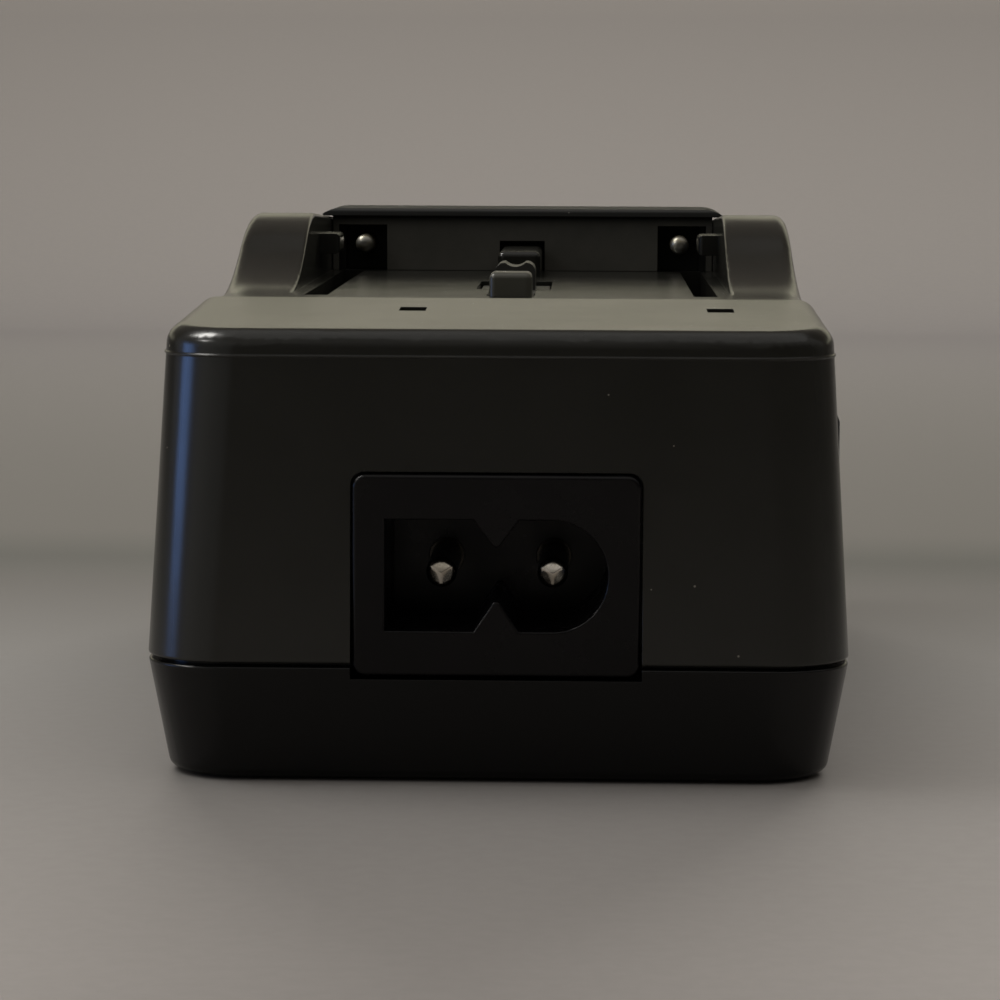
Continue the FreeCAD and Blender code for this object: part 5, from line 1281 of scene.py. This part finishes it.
def makeInletPins():
    mesh = mergedMesh("inlet_pins", "inletPins")
    boxes = islandBoxes("inlet_pins")
    start = min(low.y for low, high in boxes)
    cutY = start + pinTip["cutBehind"] * mm
    build = bmesh.new()
    build.from_mesh(mesh)
    bmesh.ops.bisect_plane(
        build, geom=build.verts[:] + build.edges[:] + build.faces[:], dist=0.0001 * mm,
        plane_co=(0, cutY, 0), plane_no=(0, 1, 0), clear_inner=True,
    )
    for low, high in boxes:
        ring = [v for v in build.verts if abs(v.co.y - cutY) < 0.001 * mm and low.x <= v.co.x <= high.x]
        x0 = (low.x + high.x) / 2
        z0 = (min(v.co.z for v in ring) + max(v.co.z for v in ring)) / 2
        ring.sort(key=lambda v: math.atan2(v.co.z - z0, v.co.x - x0))
        radius = max(math.hypot(v.co.x - x0, v.co.z - z0) for v in ring) / mm
        rows = [ring]
        for step in range(pinTip["rings"] - 1):
            share = (1 - step / (pinTip["rings"] - 1)) ** pinTip["ringCrowding"]
            row = []
            for v in ring:
                x, z = (v.co.x - x0) / mm * share, (v.co.z - z0) / mm * share
                y = start + min(tipDepth(x, z, radius), pinTip["cutBehind"] - 0.05) * mm
                row.append(build.verts.new((x0 + x * mm, y, z0 + z * mm)))
            rows.append(row)
        tip = build.verts.new((x0, start + tipDepth(0, 0, radius) * mm, z0))
        for i in range(len(ring)):
            j = (i + 1) % len(ring)
            for outer, inner in zip(rows, rows[1:]):
                build.faces.new((outer[i], outer[j], inner[j], inner[i]))
            build.faces.new((rows[-1][i], rows[-1][j], tip))
    bmesh.ops.recalc_face_normals(build, faces=build.faces)
    build.to_mesh(mesh)
    build.free()
    placePiece("inletPins", mesh, nickelPlatedBrass(), "charger", ["inlet_pins"], 45.0)
    print("inlet pins done")


makeInletPins()
smoothPiece("contactPins", "contact_pins", contactPlating(), 35.0)


# Catch spring: a coil of spring wire under the catch

spring = {
    "wireRadius": 0.275,
    "turns": 4.5,
    "endShare": 0.16,         # of the height, by which turns crowd towards the ends
    "travel": 2.2,            # mm, the catch's stroke
}


def makeSpring():
    low, high = [Vector(c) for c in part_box("catch_spring")]
    middle = (low + high) / 2
    wire = spring["wireRadius"] * mm
    steel = springSteel()
    mesh = bakeTree("catchSpring", coilTree, {
        "Coil Radius": (high.x - low.x) / 2 - wire,
        "Wire Radius": wire,
        "Turns": spring["turns"],
        "Height": high.z - low.z - 2 * wire,
        "End Share": spring["endShare"],
        "Finish": steel,
    }, [(middle.x, middle.y, low.z + wire)])
    piece = placePiece("catchSpring", mesh, steel, "charger", ["catch_spring"], 50.0)
    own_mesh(piece)
    print("spring done")


makeSpring()


# Choke: enamelled wire round a ferrite ring

choke = {
    "wireRadius": 0.3,
    "cornerRadius": 0.6,
    "turns": 7,
    "firstAngle": 32.0,       # degrees from the top, on either side, to the first turn
    "lastAngle": 148.0,       # and to the last
    "ringShare": 0.75,        # the ring's middle circle, against its outer radius
}


def makeChoke():
    ferrite = sinteredFerrite()
    smoothPiece("chokeCore", "choke_core", ferrite)
    low, high = [Vector(c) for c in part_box("choke_windings")]
    coreLow, coreHigh = [Vector(c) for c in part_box("choke_core")]
    # the middle of the ring: its top is a radius above it
    outer = (coreHigh.x - coreLow.x) / 2
    centre = Vector(((coreLow.x + coreHigh.x) / 2, (coreLow.y + coreHigh.y) / 2, coreHigh.z - outer))
    ringRadius = outer * choke["ringShare"]
    wire = choke["wireRadius"] * mm
    copper = enamelledCopper()
    mesh = bakeTree("chokeWindings", windingTree, {
        "Ring Radius": ringRadius,
        "Loop Width": 2 * (high.x - centre.x - ringRadius) - 2 * wire,
        "Loop Depth": high.y - low.y - 2 * wire,
        "Wire Radius": wire,
        "Corner Radius": choke["cornerRadius"] * mm,
        "Turns": choke["turns"],
        "First Angle": math.radians(choke["firstAngle"]),
        "Last Angle": math.radians(choke["lastAngle"]),
        "Finish": copper,
    }, [centre])
    placePiece("chokeWindings", mesh, copper, "charger", ["choke_windings"], 50.0)
    smoothPiece("transformerCore", "transformer_core", ferrite)
    print("choke done")


makeChoke()


# Boards, leads and the parts on the boards

canRadius = {"main_capacitor": 6.3, "output_capacitors": 4.0}    # mm


def canSleeve(name, node):
    centres = axisPoints(islandBoxes(node))
    return capacitorSleeve(name, centres, canRadius[node] * mm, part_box(node)[1][2])


epoxy = mouldedEpoxy()
for name, node, material in (
    ("mainBoard", "main_board", glassEpoxyLaminate("mainLaminate")),
    ("indicatorBoard", "indicator_board", glassEpoxyLaminate("indicatorLaminate")),
    ("indicatorLamps", "indicator_lamps", ledResin("7a2f22", "2f7a3a", 5.0)),
    ("inletLeads", "inlet_leads", pvcInsulation("mainsPvc", ["2c2a29", "d8d4c8"], [0.0])),
    ("contactLeads", "contact_leads", pvcInsulation("outputPvc", ["1f1e1e", "a32a22"], [0.0])),
    ("lampLeads", "lamp_leads", pvcInsulation("lampPvc", ["8a8a88", "b07f35", "3c6b49"], [-0.25, 1.25])),
    ("fuseTube", "fuse", fuseGlass()),
    ("varistorDisc", "varistor", dippedEpoxy("varistorEpoxy", "27508f", "1f4179", 0.3, 1.1)),
    ("filmCapacitor", "suppression_capacitor", capacitorFilmBox()),
    ("bridgeRectifier", "bridge_rectifier", epoxy),
    ("switchingTransistor", "switching_transistor", epoxy),
    ("outputDiode", "output_diode", epoxy),
    ("optocoupler", "optocoupler", epoxy),
    ("controlChips", "control_chips", epoxy),
    ("mainCapacitor", "main_capacitor", canSleeve("mainCapacitorSleeve", "main_capacitor")),
    ("outputCapacitors", "output_capacitors", canSleeve("outputCapacitorsSleeve", "output_capacitors")),
    ("transformerBobbin", "transformer_bobbin", filledNylon()),
    ("transformerWinding", "transformer_winding", polyesterTape()),
    ("heatSink", "heat_sink", sheetAluminium()),
    ("discCapacitor", "disc_capacitor", dippedEpoxy("discLacquer", "b5703a", "9c5c2c", 0.35, 0.9)),
    ("resistorRow", "resistors", resistorLacquer()),
):
    smoothPiece(name, node, material)
print("boards and their parts done")
